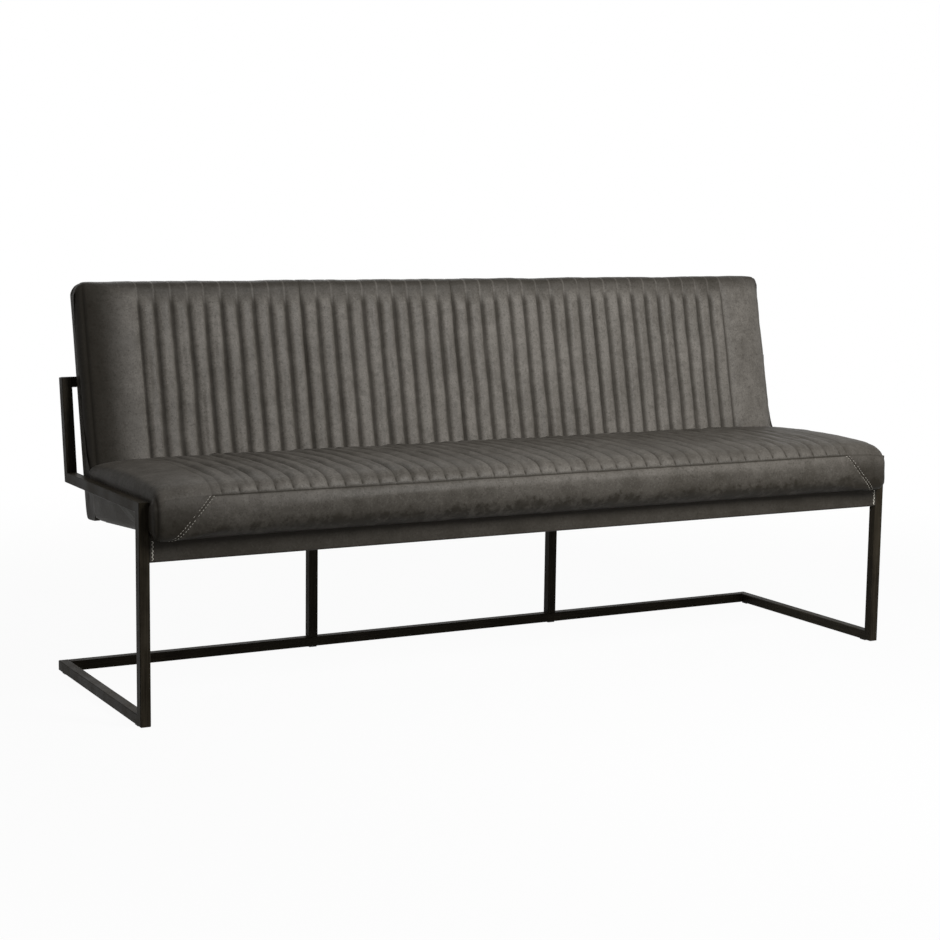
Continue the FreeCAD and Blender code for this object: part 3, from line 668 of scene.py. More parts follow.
@dataclass
class SewnCushion:
    """A foam cushion in a sewn cover, modelled as a section swept along the bench."""

    name: str
    half: float
    end_round: float
    end_span: int
    rear_square: float
    stands_for: tuple[str, ...]
    fill: float
    channel_half: float = 765 * MM
    pitch: float = 38.25 * MM
    columns: int = 6
    margin_step: float = 5 * MM
    round_steps: int = 5
    arch_share: float = 0.25
    shoulder: float = 0.65
    line_width: float = 2 * MM
    hold: float = 1 * MM  # how far a seam's hold reaches
    end_hold: float = 0.9  # share of the end rounding that is held
    swell: float = 6 * MM
    cloth: CoverCloth = CoverCloth()
    section: Section = field(init=False, default=None)
    piece: bpy.types.Object = field(init=False, default=None)
    index: np.ndarray = field(init=False, default=None)

    def __post_init__(self) -> None:
        """Draws the section."""
        self.section = self.draw()

    def draw(self) -> Section:
        """The cushion's side elevation."""
        raise NotImplementedError

    def stations(self) -> list[float]:
        """Places along the bench at which the section is swept.

        Returns:
            The places from end to end, denser where the ends turn in.
        """
        channels = round(2 * self.channel_half / self.pitch)
        inner = list(np.linspace(-self.channel_half, self.channel_half, channels * self.columns + 1))
        flat = self.half - self.end_round
        count = max(2, round((flat - self.channel_half) / self.margin_step))
        margin = list(np.linspace(self.channel_half, flat, count + 1))[1:]
        turn = [flat + self.end_round * math.sin(math.pi / 2 * i / self.round_steps)
                for i in range(1, self.round_steps + 1)]
        outer = margin + turn
        return [-x for x in reversed(outer)] + inner + outer

    def sweep(self) -> None:
        """Extrudes the section from station to station."""
        places = self.stations()
        ring = self.section.ring
        deselect()
        bpy.ops.mesh.primitive_circle_add(vertices=len(ring))
        self.piece = bpy.context.object
        self.piece.name = self.name
        move_points(self.piece, np.column_stack([np.full(len(ring), places[0]), ring]))
        bpy.ops.object.mode_set(mode="EDIT")
        bpy.ops.mesh.select_all(action="SELECT")
        for here, there in zip(places, places[1:]):
            bpy.ops.mesh.extrude_region_move(TRANSFORM_OT_translate={"value": (there - here, 0.0, 0.0)})
        bpy.ops.object.mode_set(mode="OBJECT")
        points = coordinates(self.piece)
        self.index = self.section.nearest(points[:, 1:])
        paint(self.piece, "along", points[:, 0])
        paint(self.piece, "girth", self.section.girth[self.index])

    def into_end(self, points: np.ndarray, length: float) -> np.ndarray:
        """How far each point lies into the last stretch at either end, from 0 to 1."""
        return np.clip((np.abs(points[:, 0]) - (self.half - length)) / length, 0.0, 1.0)

    def shape(self) -> None:
        """Turns the ends in and lets the crown fall towards them."""
        points = coordinates(self.piece)
        inset = self.end_round * (1.0 - np.sqrt(1.0 - self.into_end(points, self.end_round) ** 2))
        facing = self.section.facing[self.index]
        points[:, 1:] -= facing * (inset * self.rounding(points, facing))[:, None]
        move_points(self.piece, self.crown(points))

    def rounding(self, points: np.ndarray, facing: np.ndarray) -> np.ndarray:
        """How much of the end rounding each point gets; the rear edges stay squarer."""
        return 1.0 - self.rear_square * np.maximum(facing[:, 0], 0.0)

    def crown(self, points: np.ndarray) -> np.ndarray:
        """The cushion's own fall towards its ends."""
        raise NotImplementedError

    def close_ends(self) -> None:
        """Fills both end loops with a grid and makes all faces point outwards."""
        for sign in (-1.0, 1.0):
            activate(self.piece)
            loop = np.flatnonzero(painted(self.piece, "along") * sign > self.half - TOUCH)
            first = int(loop[np.argmin(self.index[loop])])
            bpy.ops.object.mode_set(mode="EDIT")
            bpy.ops.mesh.select_mode(type="VERT")
            bpy.ops.mesh.select_all(action="DESELECT")
            shell = bmesh.from_edit_mesh(self.piece.data)
            shell.verts.ensure_lookup_table()
            for number in loop:
                shell.verts[int(number)].select_set(True)
            shell.select_history.add(shell.verts[first])
            shell.select_flush(True)
            bpy.ops.mesh.fill_grid(span=self.end_span, offset=0, use_interp_simple=True)
            bpy.ops.object.mode_set(mode="OBJECT")
            self._note_new_points(sign * self.half)
        activate(self.piece)
        bpy.ops.object.mode_set(mode="EDIT")
        bpy.ops.mesh.select_all(action="SELECT")
        bpy.ops.mesh.normals_make_consistent(inside=False)
        bpy.ops.object.mode_set(mode="OBJECT")

    def _note_new_points(self, end: float) -> None:
        """Gives the points of a filled end their place along the bench and round the section.

        Args:
            end: where the end lies along the bench.
        """
        points = coordinates(self.piece)
        along, girth = painted(self.piece, "along"), painted(self.piece, "girth")
        added = np.arange(len(self.index), len(points))
        nearest = self.section.nearest(points[added][:, 1:])
        along[added] = end
        girth[added] = self.section.girth[nearest]
        self.index = np.concatenate([self.index, nearest])
        paint(self.piece, "along", along)
        paint(self.piece, "girth", girth)

    def held(self) -> np.ndarray:
        """Which points the seams and the boards hold still while the cover swells.

        Returns:
            True for each such point.
        """
        along = painted(self.piece, "along")
        count = np.rint((along + self.channel_half) / self.pitch)
        on_line = np.abs(along + self.channel_half - count * self.pitch) < self.hold / 2
        sewn = on_line & (np.abs(along) < self.channel_half + self.hold) & self.channelled()
        return sewn | (np.abs(along) > self.half - self.end_round * self.end_hold) | self.backed()

    def channelled(self) -> np.ndarray:
        """Which points lie in the rows that the channels run over."""
        raise NotImplementedError

    def backed(self) -> np.ndarray:
        """Which points a board or a plain seam holds."""
        raise NotImplementedError

    def inflate(self) -> None:
        """Swells the cover with cloth pressure between the seams, by at most the swell."""
        rest = coordinates(self.piece)
        self.cloth.run(self.piece, self.held())
        shift = coordinates(self.piece) - rest
        far = np.linalg.norm(shift, axis=1)
        LOG.info("%s swells by up to %.1f mm", self.name, far.max() / MM)
        shift *= (np.minimum(far, self.swell) / np.maximum(far, TINY))[:, None]
        move_points(self.piece, rest + shift)

    def refine(self) -> None:
        """Subdivides the cover once."""
        activate(self.piece)
        smooth = self.piece.modifiers.new("smooth", "SUBSURF")
        smooth.levels = 1
        smooth.render_levels = 1
        bpy.ops.object.modifier_apply(modifier=smooth.name)

    def sew(self) -> None:
        """Presses channels and seams into the refined cover; each cushion has its own."""
        raise NotImplementedError

    def channel_wave(self, along: np.ndarray, stray: np.ndarray) -> tuple[np.ndarray, ...]:
        """Height of the channels across the bench.

        Args:
            along: place along the bench.
            stray: how far the sewing line strays there.

        Returns:
            Share of the full rise, nearness to a sewing line, and the number of that line.
        """
        place = (along + stray + self.channel_half) / self.pitch
        line = np.rint(place)
        off = np.abs(place - line) * 2.0
        arch = np.sqrt(np.clip(1.0 - (1.0 - off) ** 2, 0.0, 1.0))
        rise = arch * self.arch_share + smooth_step(0.0, self.shoulder, off) * (1.0 - self.arch_share)
        return rise, ridge(off * self.pitch / 2, self.line_width), line

    def inside(self, along: np.ndarray) -> np.ndarray:
        """1 on the channelled panel and 0 on the plain panels beside it."""
        beyond = np.abs(along) - self.channel_half
        return 1.0 - smooth_step(-self.hold, 3 * self.hold, beyond)

    @staticmethod
    def fullness(line: np.ndarray, girth: np.ndarray, bumps: float) -> np.ndarray:
        """How much fuller or flatter each channel is along its length, from -1 to 1."""
        return wander(np.column_stack([line, girth * bumps, line * 0.0]), scale=0.9, seed=5.0)

    def finish(self) -> None:
        """Smooth shading, leather, and its place in the frame."""
        activate(self.piece)
        bpy.ops.object.shade_smooth()
        dress(self.piece, HIDE.material())
        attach(self.piece, "root")
        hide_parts(*self.stands_for)

    def build(self) -> bpy.types.Object:
        """Models the cushion from section to finish.

        Returns:
            The finished piece.
        """
        self.sweep()
        self.shape()
        self.close_ends()
        self.inflate()
        self.refine()
        self.sew()
        self.finish()
        LOG.info("%s: %d points", self.name, len(self.piece.data.vertices))
        return self.piece

    def surface(self) -> Callable[[float, float], tuple[Vector, Vector]]:
        """A lookup of the finished surface by place along the bench and girth.

        Returns:
            A function that gives a point and its outward normal.
        """
        mesh = self.piece.data
        mesh.calc_loop_triangles()
        along, girth = painted(self.piece, "along"), painted(self.piece, "girth")
        flat = [Vector((a, g, 0.0)) for a, g in zip(along, girth)]
        places = [Vector(point) for point in coordinates(self.piece)]
        corners = []
        for triangle in mesh.loop_triangles:
            a, b, c = triangle.vertices
            spread = np.ptp([flat[a].y, flat[b].y, flat[c].y])
            area = (flat[b] - flat[a]).cross(flat[c] - flat[a]).length
            if spread < self.section.girth[-1] / 2 and area > TINY:
                corners.append((a, b, c))
        tree = BVHTree.FromPolygons(flat, corners)

        def look_up(along: float, girth: float) -> tuple[Vector, Vector]:
            """Point and outward normal at a place along the bench and a girth."""
            hit, _, face, _ = tree.find_nearest(Vector((along, girth, 0.0)))
            a, b, c = corners[face]
            point = barycentric_transform(hit, flat[a], flat[b], flat[c], places[a], places[b], places[c])
            normal = (places[b] - places[a]).cross(places[c] - places[a]).normalized()
            return point, normal

        return look_up


@dataclass
class SeatCushion(SewnCushion):
    """The long seat: channelled top, smooth nose, mitred ends.

    Fields without a unit are millimetres in the side elevation.
    """

    crown_level: float = 494.0
    crown_peak: float = 160.0
    crown_radius: float = 2200.0
    crown_rear: float = 381.0
    foot_rear: float = 353.0
    foot_level: float = 381.6
    face: float = -38.0
    nose_round: float = 46.0
    nose_level: float = 441.0
    lip_round: float = 20.0
    lip_level: float = 373.0
    board_front: float = -3.0
    seam_level: float = 463.0
    hem_place: float = -26.0
    rest_level: float = 485.0
    rest_place: float = 375.0
    seam_half: float = 785 * MM
    hem_half: float = 865 * MM
    fall: float = 19 * MM
    fall_length: float = 120 * MM
    fall_power: float = 2.5
    nose_bulge: float = 7 * MM
    top_bulge: float = 4 * MM
    turn_under: float = 8 * MM
    stray: float = 1.6 * MM
    channel_rise: float = 3.4 * MM
    groove: float = 0.9 * MM
    pucker: float = 1.2 * MM
    tick: float = 1.6 * MM
    seam_depth: float = 2 * MM
    seam_width: float = 2 * MM
    edge_width: float = 2.4 * MM
    lap: float = 14 * MM
    thread_off: float = 4 * MM

    def draw(self) -> Section:
        """Draws the rear, crown, nose, lip and underside.

        Returns:
            The side elevation.
        """
        nose = (self.face + self.nose_round, self.nose_level)
        lip = (self.face + self.lip_round, self.lip_level + self.lip_round)
        crown = [(y, self.crown_level - (y - self.crown_peak) ** 2 / (2 * self.crown_radius))
                 for y in np.linspace(self.crown_rear, nose[0], 39)][:-1]
        rear_foot = (self.foot_rear, over_bearers(self.foot_rear, self.foot_level))
        front_foot = (self.board_front, over_bearers(self.board_front, self.foot_level))
        under = (self.board_front, self.lip_level)
        return Section(
            straight(rear_foot, crown[0], 5)
            + crown
            + bow(nose, self.nose_round, 90.0, 180.0, 14)
            + straight((self.face, nose[1]), (self.face, lip[1]), 9)
            + bow(lip, self.lip_round, 180.0, 270.0, 6)
            + straight((lip[0], self.lip_level), under, 2)
            + straight(under, front_foot, 2)
            + straight(front_foot, rear_foot, 10)
        )

    def crown(self, points: np.ndarray) -> np.ndarray:
        """Lowers the top towards the ends and lets the nose bulge beside the legs.

        Args:
            points: the swept points, one row each.

        Returns:
            The moved points.
        """
        over = self.into_end(points, self.fall_length)
        drop = self.fall * (1.0 - np.sqrt(1.0 - over**self.fall_power * NEARLY))
        points[:, 2] -= drop * smooth_step(400 * MM, 480 * MM, points[:, 2])
        ahead = smooth_step(LEG_FRONT - 2 * MM, LEG_FRONT - 24 * MM, points[:, 1])
        above = smooth_step(444 * MM, 460 * MM, points[:, 2])
        bulge = np.maximum(ahead * self.nose_bulge, above * self.top_bulge)
        points[:, 0] += np.sign(points[:, 0]) * over * bulge
        return points

    def seam_girth(self) -> float:
        """Girth of the seam between the channelled top and the nose."""
        return self.section.girth_at(lambda y, z: abs(z - self.seam_level) + max(y, 0.0))

    def hem_girth(self) -> float:
        """Girth of the nose's lower edge, on the lip."""
        return self.section.girth_at(lambda y, z: abs(z - self.lip_level) + abs(y - self.hem_place))

    def rear_girth(self) -> float:
        """Girth of the crown's rear end, where the backrest stands on it."""
        return self.section.girth_at(lambda y, z: abs(z - self.rest_level) + abs(y - self.rest_place))

    def mitre(self, girth: np.ndarray) -> np.ndarray:
        """Place of the mitre seam along the bench at a girth between seam and hem."""
        share = np.clip((girth - self.seam_girth()) / (self.hem_girth() - self.seam_girth()), 0.0, 1.0)
        return self.seam_half + (self.hem_half - self.seam_half) * share

    def channelled(self) -> np.ndarray:
        """Which points lie on the crown."""
        return painted(self.piece, "girth") < self.seam_girth() + self.hold

    def backed(self) -> np.ndarray:
        """Which points lie on the base board, at the backrest, or on the front and mitre seams.

        Returns:
            True for each such point.
        """
        along, girth = np.abs(painted(self.piece, "along")), painted(self.piece, "girth")
        seam = self.seam_girth()
        base = girth > self.hem_girth() + self.turn_under
        behind = girth < self.rear_girth() - self.turn_under
        front = (np.abs(girth - seam) < 2 * self.hold) & (along < self.seam_half)
        mitre = (np.abs(along - self.mitre(girth)) < 3 * self.hold) & (girth > seam)
        return base | behind | front | mitre

    def sew(self) -> None:
        """Presses the channels, the front seam and the mitre seams into the cover."""
        points, normals = coordinates(self.piece), outward(self.piece)
        along, girth = painted(self.piece, "along"), painted(self.piece, "girth")
        seam, hem, rear = self.seam_girth(), self.hem_girth(), self.rear_girth()
        out = np.abs(along)
        rise, near, line = self.channel_wave(along, wander(points, scale=16.0, seed=2.0) * self.stray)
        inside = self.inside(along)
        zone = smooth_step(rear - 10 * MM, rear + 4 * MM, girth) * inside
        zone *= 1.0 - smooth_step(seam - 26 * MM, seam, girth)
        lift = 0.7 + 0.7 * self.fullness(line, girth, 14.0)
        ahead = ridge(seam - 9 * MM - girth, 8 * MM) * inside
        tick = near * ahead
        seams = self.seams(out, girth)
        height = zone * (rise * self.channel_rise - near * self.groove) * lift
        height += rise * ahead * self.pucker - seams * self.seam_depth - tick * self.tick
        loose = smooth_step(rear - 12 * MM, rear, girth) * (1.0 - smooth_step(hem, hem + 10 * MM, girth))
        dimples = wander(points, scale=22.0, seed=8.0) * 1.3 * MM
        dimples += wander(points, scale=60.0, seed=3.0) * 0.5 * MM
        move_points(self.piece, points + normals * (height + dimples * loose)[:, None])
        # painted highlight: a lighter band on the nose just under the front seam
        under_seam_highlight = ridge(girth - seam - 12 * MM, 10 * MM)
        lower = smooth_step(seam + 12 * MM, hem - 12 * MM, girth)
        wear(
            self.piece,
            # dark sewing lines, ticks and seams, with painted shade in them
            crease=np.maximum.reduce([near * zone * lift * 0.7, tick, seams]),
            # channel crests lighter from rubbing and from painted highlight; painted highlight on the
            # puckers ahead of the front seam and on the band under it
            crest=zone * rise * 0.25 + (0.25 + rise * 0.4) * ahead + under_seam_highlight * 0.25,
            scuff=lower * (girth < hem + 60 * MM),
            shade=self.shading(along, girth, lower),
        )

    def on_nose(self, girth: np.ndarray) -> np.ndarray:
        """Which points lie between the front seam and the hem's lap."""
        return (girth > self.seam_girth() - self.hold) & (girth < self.hem_girth() + self.lap)

    def seams(self, out: np.ndarray, girth: np.ndarray) -> np.ndarray:
        """Nearness to the front, mitre, edge and end seams.

        Args:
            out: distance from the middle of the bench.
            girth: place round the section.

        Returns:
            1 on a deep seam, less on a shallow one, 0 elsewhere.
        """
        seam, hem, rear = self.seam_girth(), self.hem_girth(), self.rear_girth()
        front = ridge(girth - seam, self.seam_width) * (out < self.seam_half + 2 * MM)
        mitre = ridge(out - self.mitre(girth), self.seam_width) * self.on_nose(girth)
        edge = ridge(out - self.seam_half, self.edge_width) * ((girth > rear) & (girth < seam))
        corner = smooth_step(seam - 30 * MM, seam - 6 * MM, girth) * (girth < hem + self.lap)
        end = ridge(out - (self.half - self.end_round * 0.4), self.edge_width) * corner
        return np.maximum.reduce([front, mitre, edge * 0.35, end * 0.9])

    def shading(self, along: np.ndarray, girth: np.ndarray, lower: np.ndarray) -> np.ndarray:
        """Painted shade: how much darker the leather is on the nose, beyond the mitres, at the ends and
        towards the far side.

        Args:
            along: place along the bench.
            girth: place round the section.
            lower: share of the way down the nose.

        Returns:
            The shade, from 0 to 1.
        """
        seam, out = self.seam_girth(), np.abs(along)
        ends = smooth_step(self.half - 25 * MM, self.half, out)
        nose = smooth_step(seam + 2 * MM, seam + 40 * MM, girth)
        beyond = smooth_step(0.0, 6 * MM, out - self.mitre(girth)) * self.on_nose(girth)
        far_side_shade = smooth_step(-500 * MM, 500 * MM, along) * (girth < seam)
        shade = 0.1 + nose * 0.2 + lower * 0.25 + beyond * 0.3 + far_side_shade * 0.2
        return np.maximum(shade, ends * 0.35)

    def stitch(self) -> list[bpy.types.Object]:
        """Lays the rows of thread along the seams.

        Returns:
            The rows.
        """
        look_up = self.surface()
        seam, hem = self.seam_girth(), self.hem_girth()
        along = np.linspace(-self.seam_half, self.seam_half, 320)
        front = [look_up(place, seam - self.thread_off) for place in along]
        girths = np.linspace(seam, hem, 40)
        mitres = []
        for sign in (-1.0, 1.0):
            for offset in (-self.thread_off, self.thread_off):
                places = self.mitre(girths) + offset
                mitres.append([look_up(sign * float(x), float(g)) for x, g in zip(places, girths)])
        pale = Stitches("seat_mitre_stitches", THREAD, thickness=1.4 * MM).lay(mitres)
        dark = Stitches("seat_front_stitches", DARK_THREAD).lay([front])
        return [pale, dark]


@dataclass
class BackCushion(SewnCushion):
    """The leaning backrest: deep channels that run out into a smooth top roll.

    Fields without a unit are millimetres or slopes in the side elevation.
    """

    seat_level: float = 471.0
    front_place: float = 380.0
    front_lean: float = 0.23
    rear_place: float = 447.0
    rear_lean: float = 0.20
    foot_level: float = 382.0
    front_foot: float = 359.0
    rear_foot: float = 356.0
    crest: float = 854.0
    roll_round: float = 21.0
    join_lines: tuple[int, ...] = (10, 20, 30)
    side_seam: float = 16 * MM
    fall: float = 15 * MM
    fall_length: float = 125 * MM
    corner: float = 32 * MM
    corner_drop: float = 12.8 * MM
    channel_rise: float = 6.5 * MM
    groove: float = 1.2 * MM
    roll_groove: float = 0.5 * MM
    join_depth: float = 1.8 * MM
    plumpness: float = 8 * MM
    seam_depth: float = 1.4 * MM

    def draw(self) -> Section:
        """Draws the front, top roll, rear and foot.

        Returns:
            The side elevation.
        """
        radius = self.roll_round
        top = self.crest - radius
        front, rear = self.front_at(top), self.rear_at(top)
        front_foot = self.front_at(self.front_foot)
        rear_foot = self.rear_at(self.rear_foot)
        feet = [(place, over_bearers(place, self.foot_level)) for place in (front_foot, rear_foot)]
        return Section(
            straight(feet[0], (front, top), 40)
            + bow((front + radius, top), radius, 180.0, 90.0, 6)
            + straight((front + radius, self.crest), (rear - radius, self.crest), 2)
            + bow((rear - radius, top), radius, 90.0, 0.0, 6)
            + straight((rear, top), feet[1], 12)
            + straight(feet[1], feet[0], 4)
        )

    def front_at(self, level: float) -> float:
        """Place of the front face at a level."""
        return self.front_place + self.front_lean * (level - self.seat_level)

    def rear_at(self, level: float) -> float:
        """Place of the rear face at a level."""
        return self.rear_place + self.rear_lean * (level - self.seat_level)

    @staticmethod
    def above_seat(points: np.ndarray) -> np.ndarray:
        """0 on the foot that stands behind the seat, 1 on what shows above it."""
        return smooth_step(430 * MM, 475 * MM, points[:, 2])

    def crown(self, points: np.ndarray) -> np.ndarray:
        """Lets the front fall back towards the ends and rounds the top corners.

        Args:
            points: the swept points, one row each.

        Returns:
            The moved points.
        """
        ahead = np.maximum(-self.section.facing[self.index][:, 0], 0.0)
        over, turn = self.into_end(points, self.fall_length), self.into_end(points, self.corner)
        points[:, 1] += over**2 * self.fall * ahead * self.above_seat(points)
        drop = self.corner_drop * (1.0 - np.sqrt(1.0 - turn**2 * NEARLY))
        points[:, 2] -= drop * smooth_step(760 * MM, 850 * MM, points[:, 2])
        return points

    def rounding(self, points: np.ndarray, facing: np.ndarray) -> np.ndarray:
        """How much of the end rounding each point gets; the foot stays square at the seat."""
        behind = np.where(facing[:, 0] < 0.0, self.above_seat(points), 1.0)
        return super().rounding(points, facing) * behind

    def top_girth(self, lean: float) -> float:
        """Girth at the crest: behind the top roll for a lean of -0.2, in front of it for 0.2."""
        return self.section.girth_at(lambda y, z: abs(z - self.crest + 1.0) + lean * y)

    def roll_girth(self) -> float:
        """Girth of the seam behind the top roll."""
        return self.top_girth(-0.2)

    def channelled(self) -> np.ndarray:
        """Which points lie on the front and the top roll."""
        return painted(self.piece, "girth") < self.roll_girth() + self.hold

    def backed(self) -> np.ndarray:
        """Which points lie on the back board or in the side seams.

        Returns:
            True for each such point.
        """
        out, girth = np.abs(painted(self.piece, "along")), painted(self.piece, "girth")
        side = np.abs(out - self.half + self.side_seam) < 3 * self.hold
        return (girth > self.roll_girth() - self.hold) | side

    def sew(self) -> None:
        """Presses the channels and the panel seams into the cover."""
        points, normals = coordinates(self.piece), outward(self.piece)
        along, girth = painted(self.piece, "along"), painted(self.piece, "girth")
        out, outer = np.abs(along), self.half - self.side_seam
        top, over = self.top_girth(0.2), self.roll_girth()
        stray = wander(points, scale=12.0, seed=4.0) * 1.5 * MM
        stray += wander(points, scale=40.0, seed=6.0) * 0.5 * MM
        rise, near, line = self.channel_wave(along, stray)
        inside, front = self.inside(along), girth < over
        thread = near**3 * front
        uneven = girth + wander(points, scale=30.0, seed=1.0) * 10 * MM
        fade_in = 1.0 - smooth_step(top - 68 * MM, top - 28 * MM, uneven)
        lift = 0.95 + 0.3 * self.fullness(line, girth, 9.0)
        zone = fade_in * inside * front
        roll = inside * front * (1.0 - fade_in)
        joins = np.isin(line, self.join_lines) * near * inside * front
        across = np.clip((out - self.channel_half) / (outer - self.channel_half), 0.0, 1.0)
        plump = np.sqrt(1.0 - (2.0 * across - 1.0) ** 2) * (1.0 - smooth_step(top - 60 * MM, top, girth))
        seams = np.maximum(ridge(out - outer, 2.2 * MM), ridge(girth - over, 2.6 * MM) * 0.8)
        height = zone * (rise * lift * self.channel_rise - near * self.groove)
        height += plump * self.plumpness
        height -= roll * near * self.roll_groove + joins * self.join_depth + seams * self.seam_depth
        loose = 1.0 - smooth_step(over - 6 * MM, over + 6 * MM, girth)
        dimples = wander(points, scale=14.0, seed=8.0) * 1.6 * MM
        dimples += wander(points, scale=45.0, seed=3.0) * 0.6 * MM
        height += dimples * loose * (1.0 - 0.5 * zone)
        move_points(self.piece, points + normals * height[:, None])
        # the channel valleys are darker, partly from dirt and partly from painted shade, besides the dark
        # sewing lines
        groove = zone * np.maximum(near * 0.85, smooth_step(0.2, 1.0, 1.0 - rise) * 0.75)
        plain = (1.0 - inside) * front
        # painted shade: the left plain panel darkens towards its end, evenly and in blotches
        left_end_shade = smooth_step(self.channel_half + 5 * MM, outer - 20 * MM, -along)
        roll_shade = smooth_step(top - 45 * MM, top, girth) * 0.76 * (1.0 - thread * 0.6)
        wear(
            self.piece,
            crease=np.maximum.reduce([groove, roll * near * 0.15, joins, seams * 0.7]),
            # channel crests lighter from rubbing and from painted highlight; painted light on the plain
            # panels
            crest=zone * (0.15 + rise * 0.75) + roll * (0.1 + thread) + plain * 0.65,
            scuff=left_end_shade * (out < outer) * 0.45,
            shade=np.maximum(roll_shade, left_end_shade * 0.85),
        )


@dataclass
class RailSleeve:
    """The leather sleeve that is drawn over the front rail."""

    thickness: float = 1.4 * MM
    fold_round: float = 3 * MM
    ripple: float = 0.35 * MM
    join_place: float = 390 * MM
    join_width: float = 2.5 * MM
    stitch_step: float = 4 * MM

    def build(self) -> bpy.types.Object:
        """Models the sleeve as a sheet round the rail's front and underside.

        Returns:
            The finished sleeve.
        """
        low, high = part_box("front_rail_sleeve")
        piece = self.fold(low, high)
        self.ruffle(piece, low)
        self.thicken(piece)
        points = coordinates(piece)
        wear(
            piece,
            crease=ridge(points[:, 0] - self.join_place, self.join_width),
            crest=np.full(len(points), 0.1),
            scuff=np.zeros(len(points)),
            # painted shadow of the seat's nose: the sleeve is dark all over and darker still towards its
            # top
            shade=0.72 + 0.2 * smooth_step(low.z + 15 * MM, high.z, points[:, 2]),
        )
        dress(piece, HIDE.material())
        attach(piece, "root")
        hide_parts("front_rail_sleeve")
        rows = [self.stitch(low, high)]
        return piece

    def fold(self, low: Vector, high: Vector) -> bpy.types.Object:
        """Folds a plane round the rail's lower front edge.

        Args:
            low: lower corner of the sleeve's box.
            high: upper corner of the sleeve's box.

        Returns:
            The folded sheet, finely divided.
        """
        deselect()
        bpy.ops.mesh.primitive_plane_add(size=1.0)
        piece = bpy.context.object
        piece.name = "front_rail_band"
        front, foot = low.y + self.thickness, low.z + self.thickness
        corners = [(low.x, foot), (high.x, foot), (low.x, high.z), (high.x, high.z)]
        move_points(piece, np.array([(x, front, z) for x, z in corners]))
        select_edges(piece, lambda end: end.z < (low.z + high.z) / 2)
        bpy.ops.mesh.extrude_region_move(TRANSFORM_OT_translate={"value": (0.0, high.y - front, 0.0)})
        select_edges(piece, lambda end: end.z < low.z + 5 * MM and end.y < low.y + 5 * MM)
        bpy.ops.mesh.bevel(offset=self.fold_round, segments=4, affect="EDGES")
        bpy.ops.mesh.select_all(action="SELECT")
        bpy.ops.mesh.normals_make_consistent(inside=False)
        for cuts in (9, 3):
            bpy.ops.mesh.subdivide(number_cuts=cuts)
        bpy.ops.object.mode_set(mode="OBJECT")
        return piece

    def ruffle(self, piece: bpy.types.Object, low: Vector) -> None:
        """Lets the front of the sheet ripple.

        Args:
            piece: the folded sheet.
            low: lower corner of the sleeve's box.
        """
        points = coordinates(piece)
        ripple = wander(points * np.array([1.0, 1.0, 2.0]), scale=14.0, seed=3.0) * self.ripple
        points[:, 1] += np.where(points[:, 1] < low.y + 4 * MM, ripple, 0.0)
        move_points(piece, points)

    def thicken(self, piece: bpy.types.Object) -> None:
        """Gives the sheet its thickness.

        Args:
            piece: the folded sheet.
        """
        activate(piece)
        wall = piece.modifiers.new("wall", "SOLIDIFY")
        wall.thickness = self.thickness
        wall.offset = 1.0
        bpy.ops.object.modifier_apply(modifier=wall.name)
        bpy.ops.object.shade_smooth_by_angle(angle=math.radians(40))

    def stitch(self, low: Vector, high: Vector) -> bpy.types.Object:
        """Sews both ends of the sleeve with a zigzag.

        Args:
            low: lower corner of the sleeve's box.
            high: upper corner of the sleeve's box.

        Returns:
            The row of stitches.
        """
        levels = np.arange(low.z + self.stitch_step, high.z - self.stitch_step, self.stitch_step)
        ahead = Vector((0.0, -1.0, 0.0))
        runs = []
        for end, inwards in ((low.x, 1.0), (high.x, -1.0)):
            places = [end + inwards * (3 + 5 * (number % 2)) * MM for number in range(len(levels))]
            runs.append([(Vector((x, low.y, z)), ahead) for x, z in zip(places, levels)])
        sizes = {"length": 5.6 * MM, "gap": 0.8 * MM, "thickness": 1.8 * MM}
        return Stitches("front_band_stitches", BAND_THREAD, **sizes).lay(runs)


@dataclass
class TubeFrame:
    """The welded frame: CAD tubes that only need their finish."""

    lacquer: Colour = (0.0100, 0.0080, 0.0052)
    bright: Colour = (0.036, 0.030, 0.021)

    def finish(self) -> None:
        """Gives each tube drawn streaks along its own length."""
        steels = {
            axis: TubeSteel(f"tube_{axis.name.lower()}", axis, self.lacquer, self.bright).material()
            for axis in Axis
        }
        ways = {
            Axis.UP: ("front_leg", "rear_post", "back_upright"),
            Axis.DEEP: ("floor_runner", "seat_rail", "seat_bearer"),
            Axis.ALONG: ("rear_floor_rail", "back_crossbar", "front_rail"),
        }
        for axis, names in ways.items():
            for name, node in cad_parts.items():
                if name.endswith(names):
                    dress(node, steels[axis])


@dataclass
class SmallParts:
    """Boards, cloth, plastics and fasteners, kept as they are."""

    finishes: dict[str, PlainFinish] = field(default_factory=lambda: {
        "board": PlainFinish(
            "plywood", (0.55, 0.40, 0.24), (0.38, 0.26, 0.14), 60.0, 0.6, stretch=(0.05, 1.0, 1.0)
        ),
        "dust_cover": PlainFinish("dust_cloth", (0.030, 0.030, 0.030), (0.012, 0.012, 0.012), 800.0, 0.9),
        "caps": PlainFinish("moulded_plastic", (0.022, 0.022, 0.022), (0.014, 0.014, 0.014), 500.0, 0.5),
        "glides": PlainFinish("felt", (0.05, 0.05, 0.05), (0.03, 0.03, 0.03), 900.0, 0.9),
        "screws": PlainFinish("zinc", (0.30, 0.30, 0.29), (0.20, 0.20, 0.20), 300.0, 0.35, metallic=1.0),
        "bolts": PlainFinish(
            "black_zinc", (0.06, 0.06, 0.06), (0.03, 0.03, 0.03), 300.0, 0.4, metallic=1.0
        ),
    })

    def finish(self) -> None:
        """Gives each small part its surface."""
        for ending, surface in self.finishes.items():
            material = surface.material()
            for name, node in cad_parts.items():
                if name.endswith(ending):
                    dress(node, material)


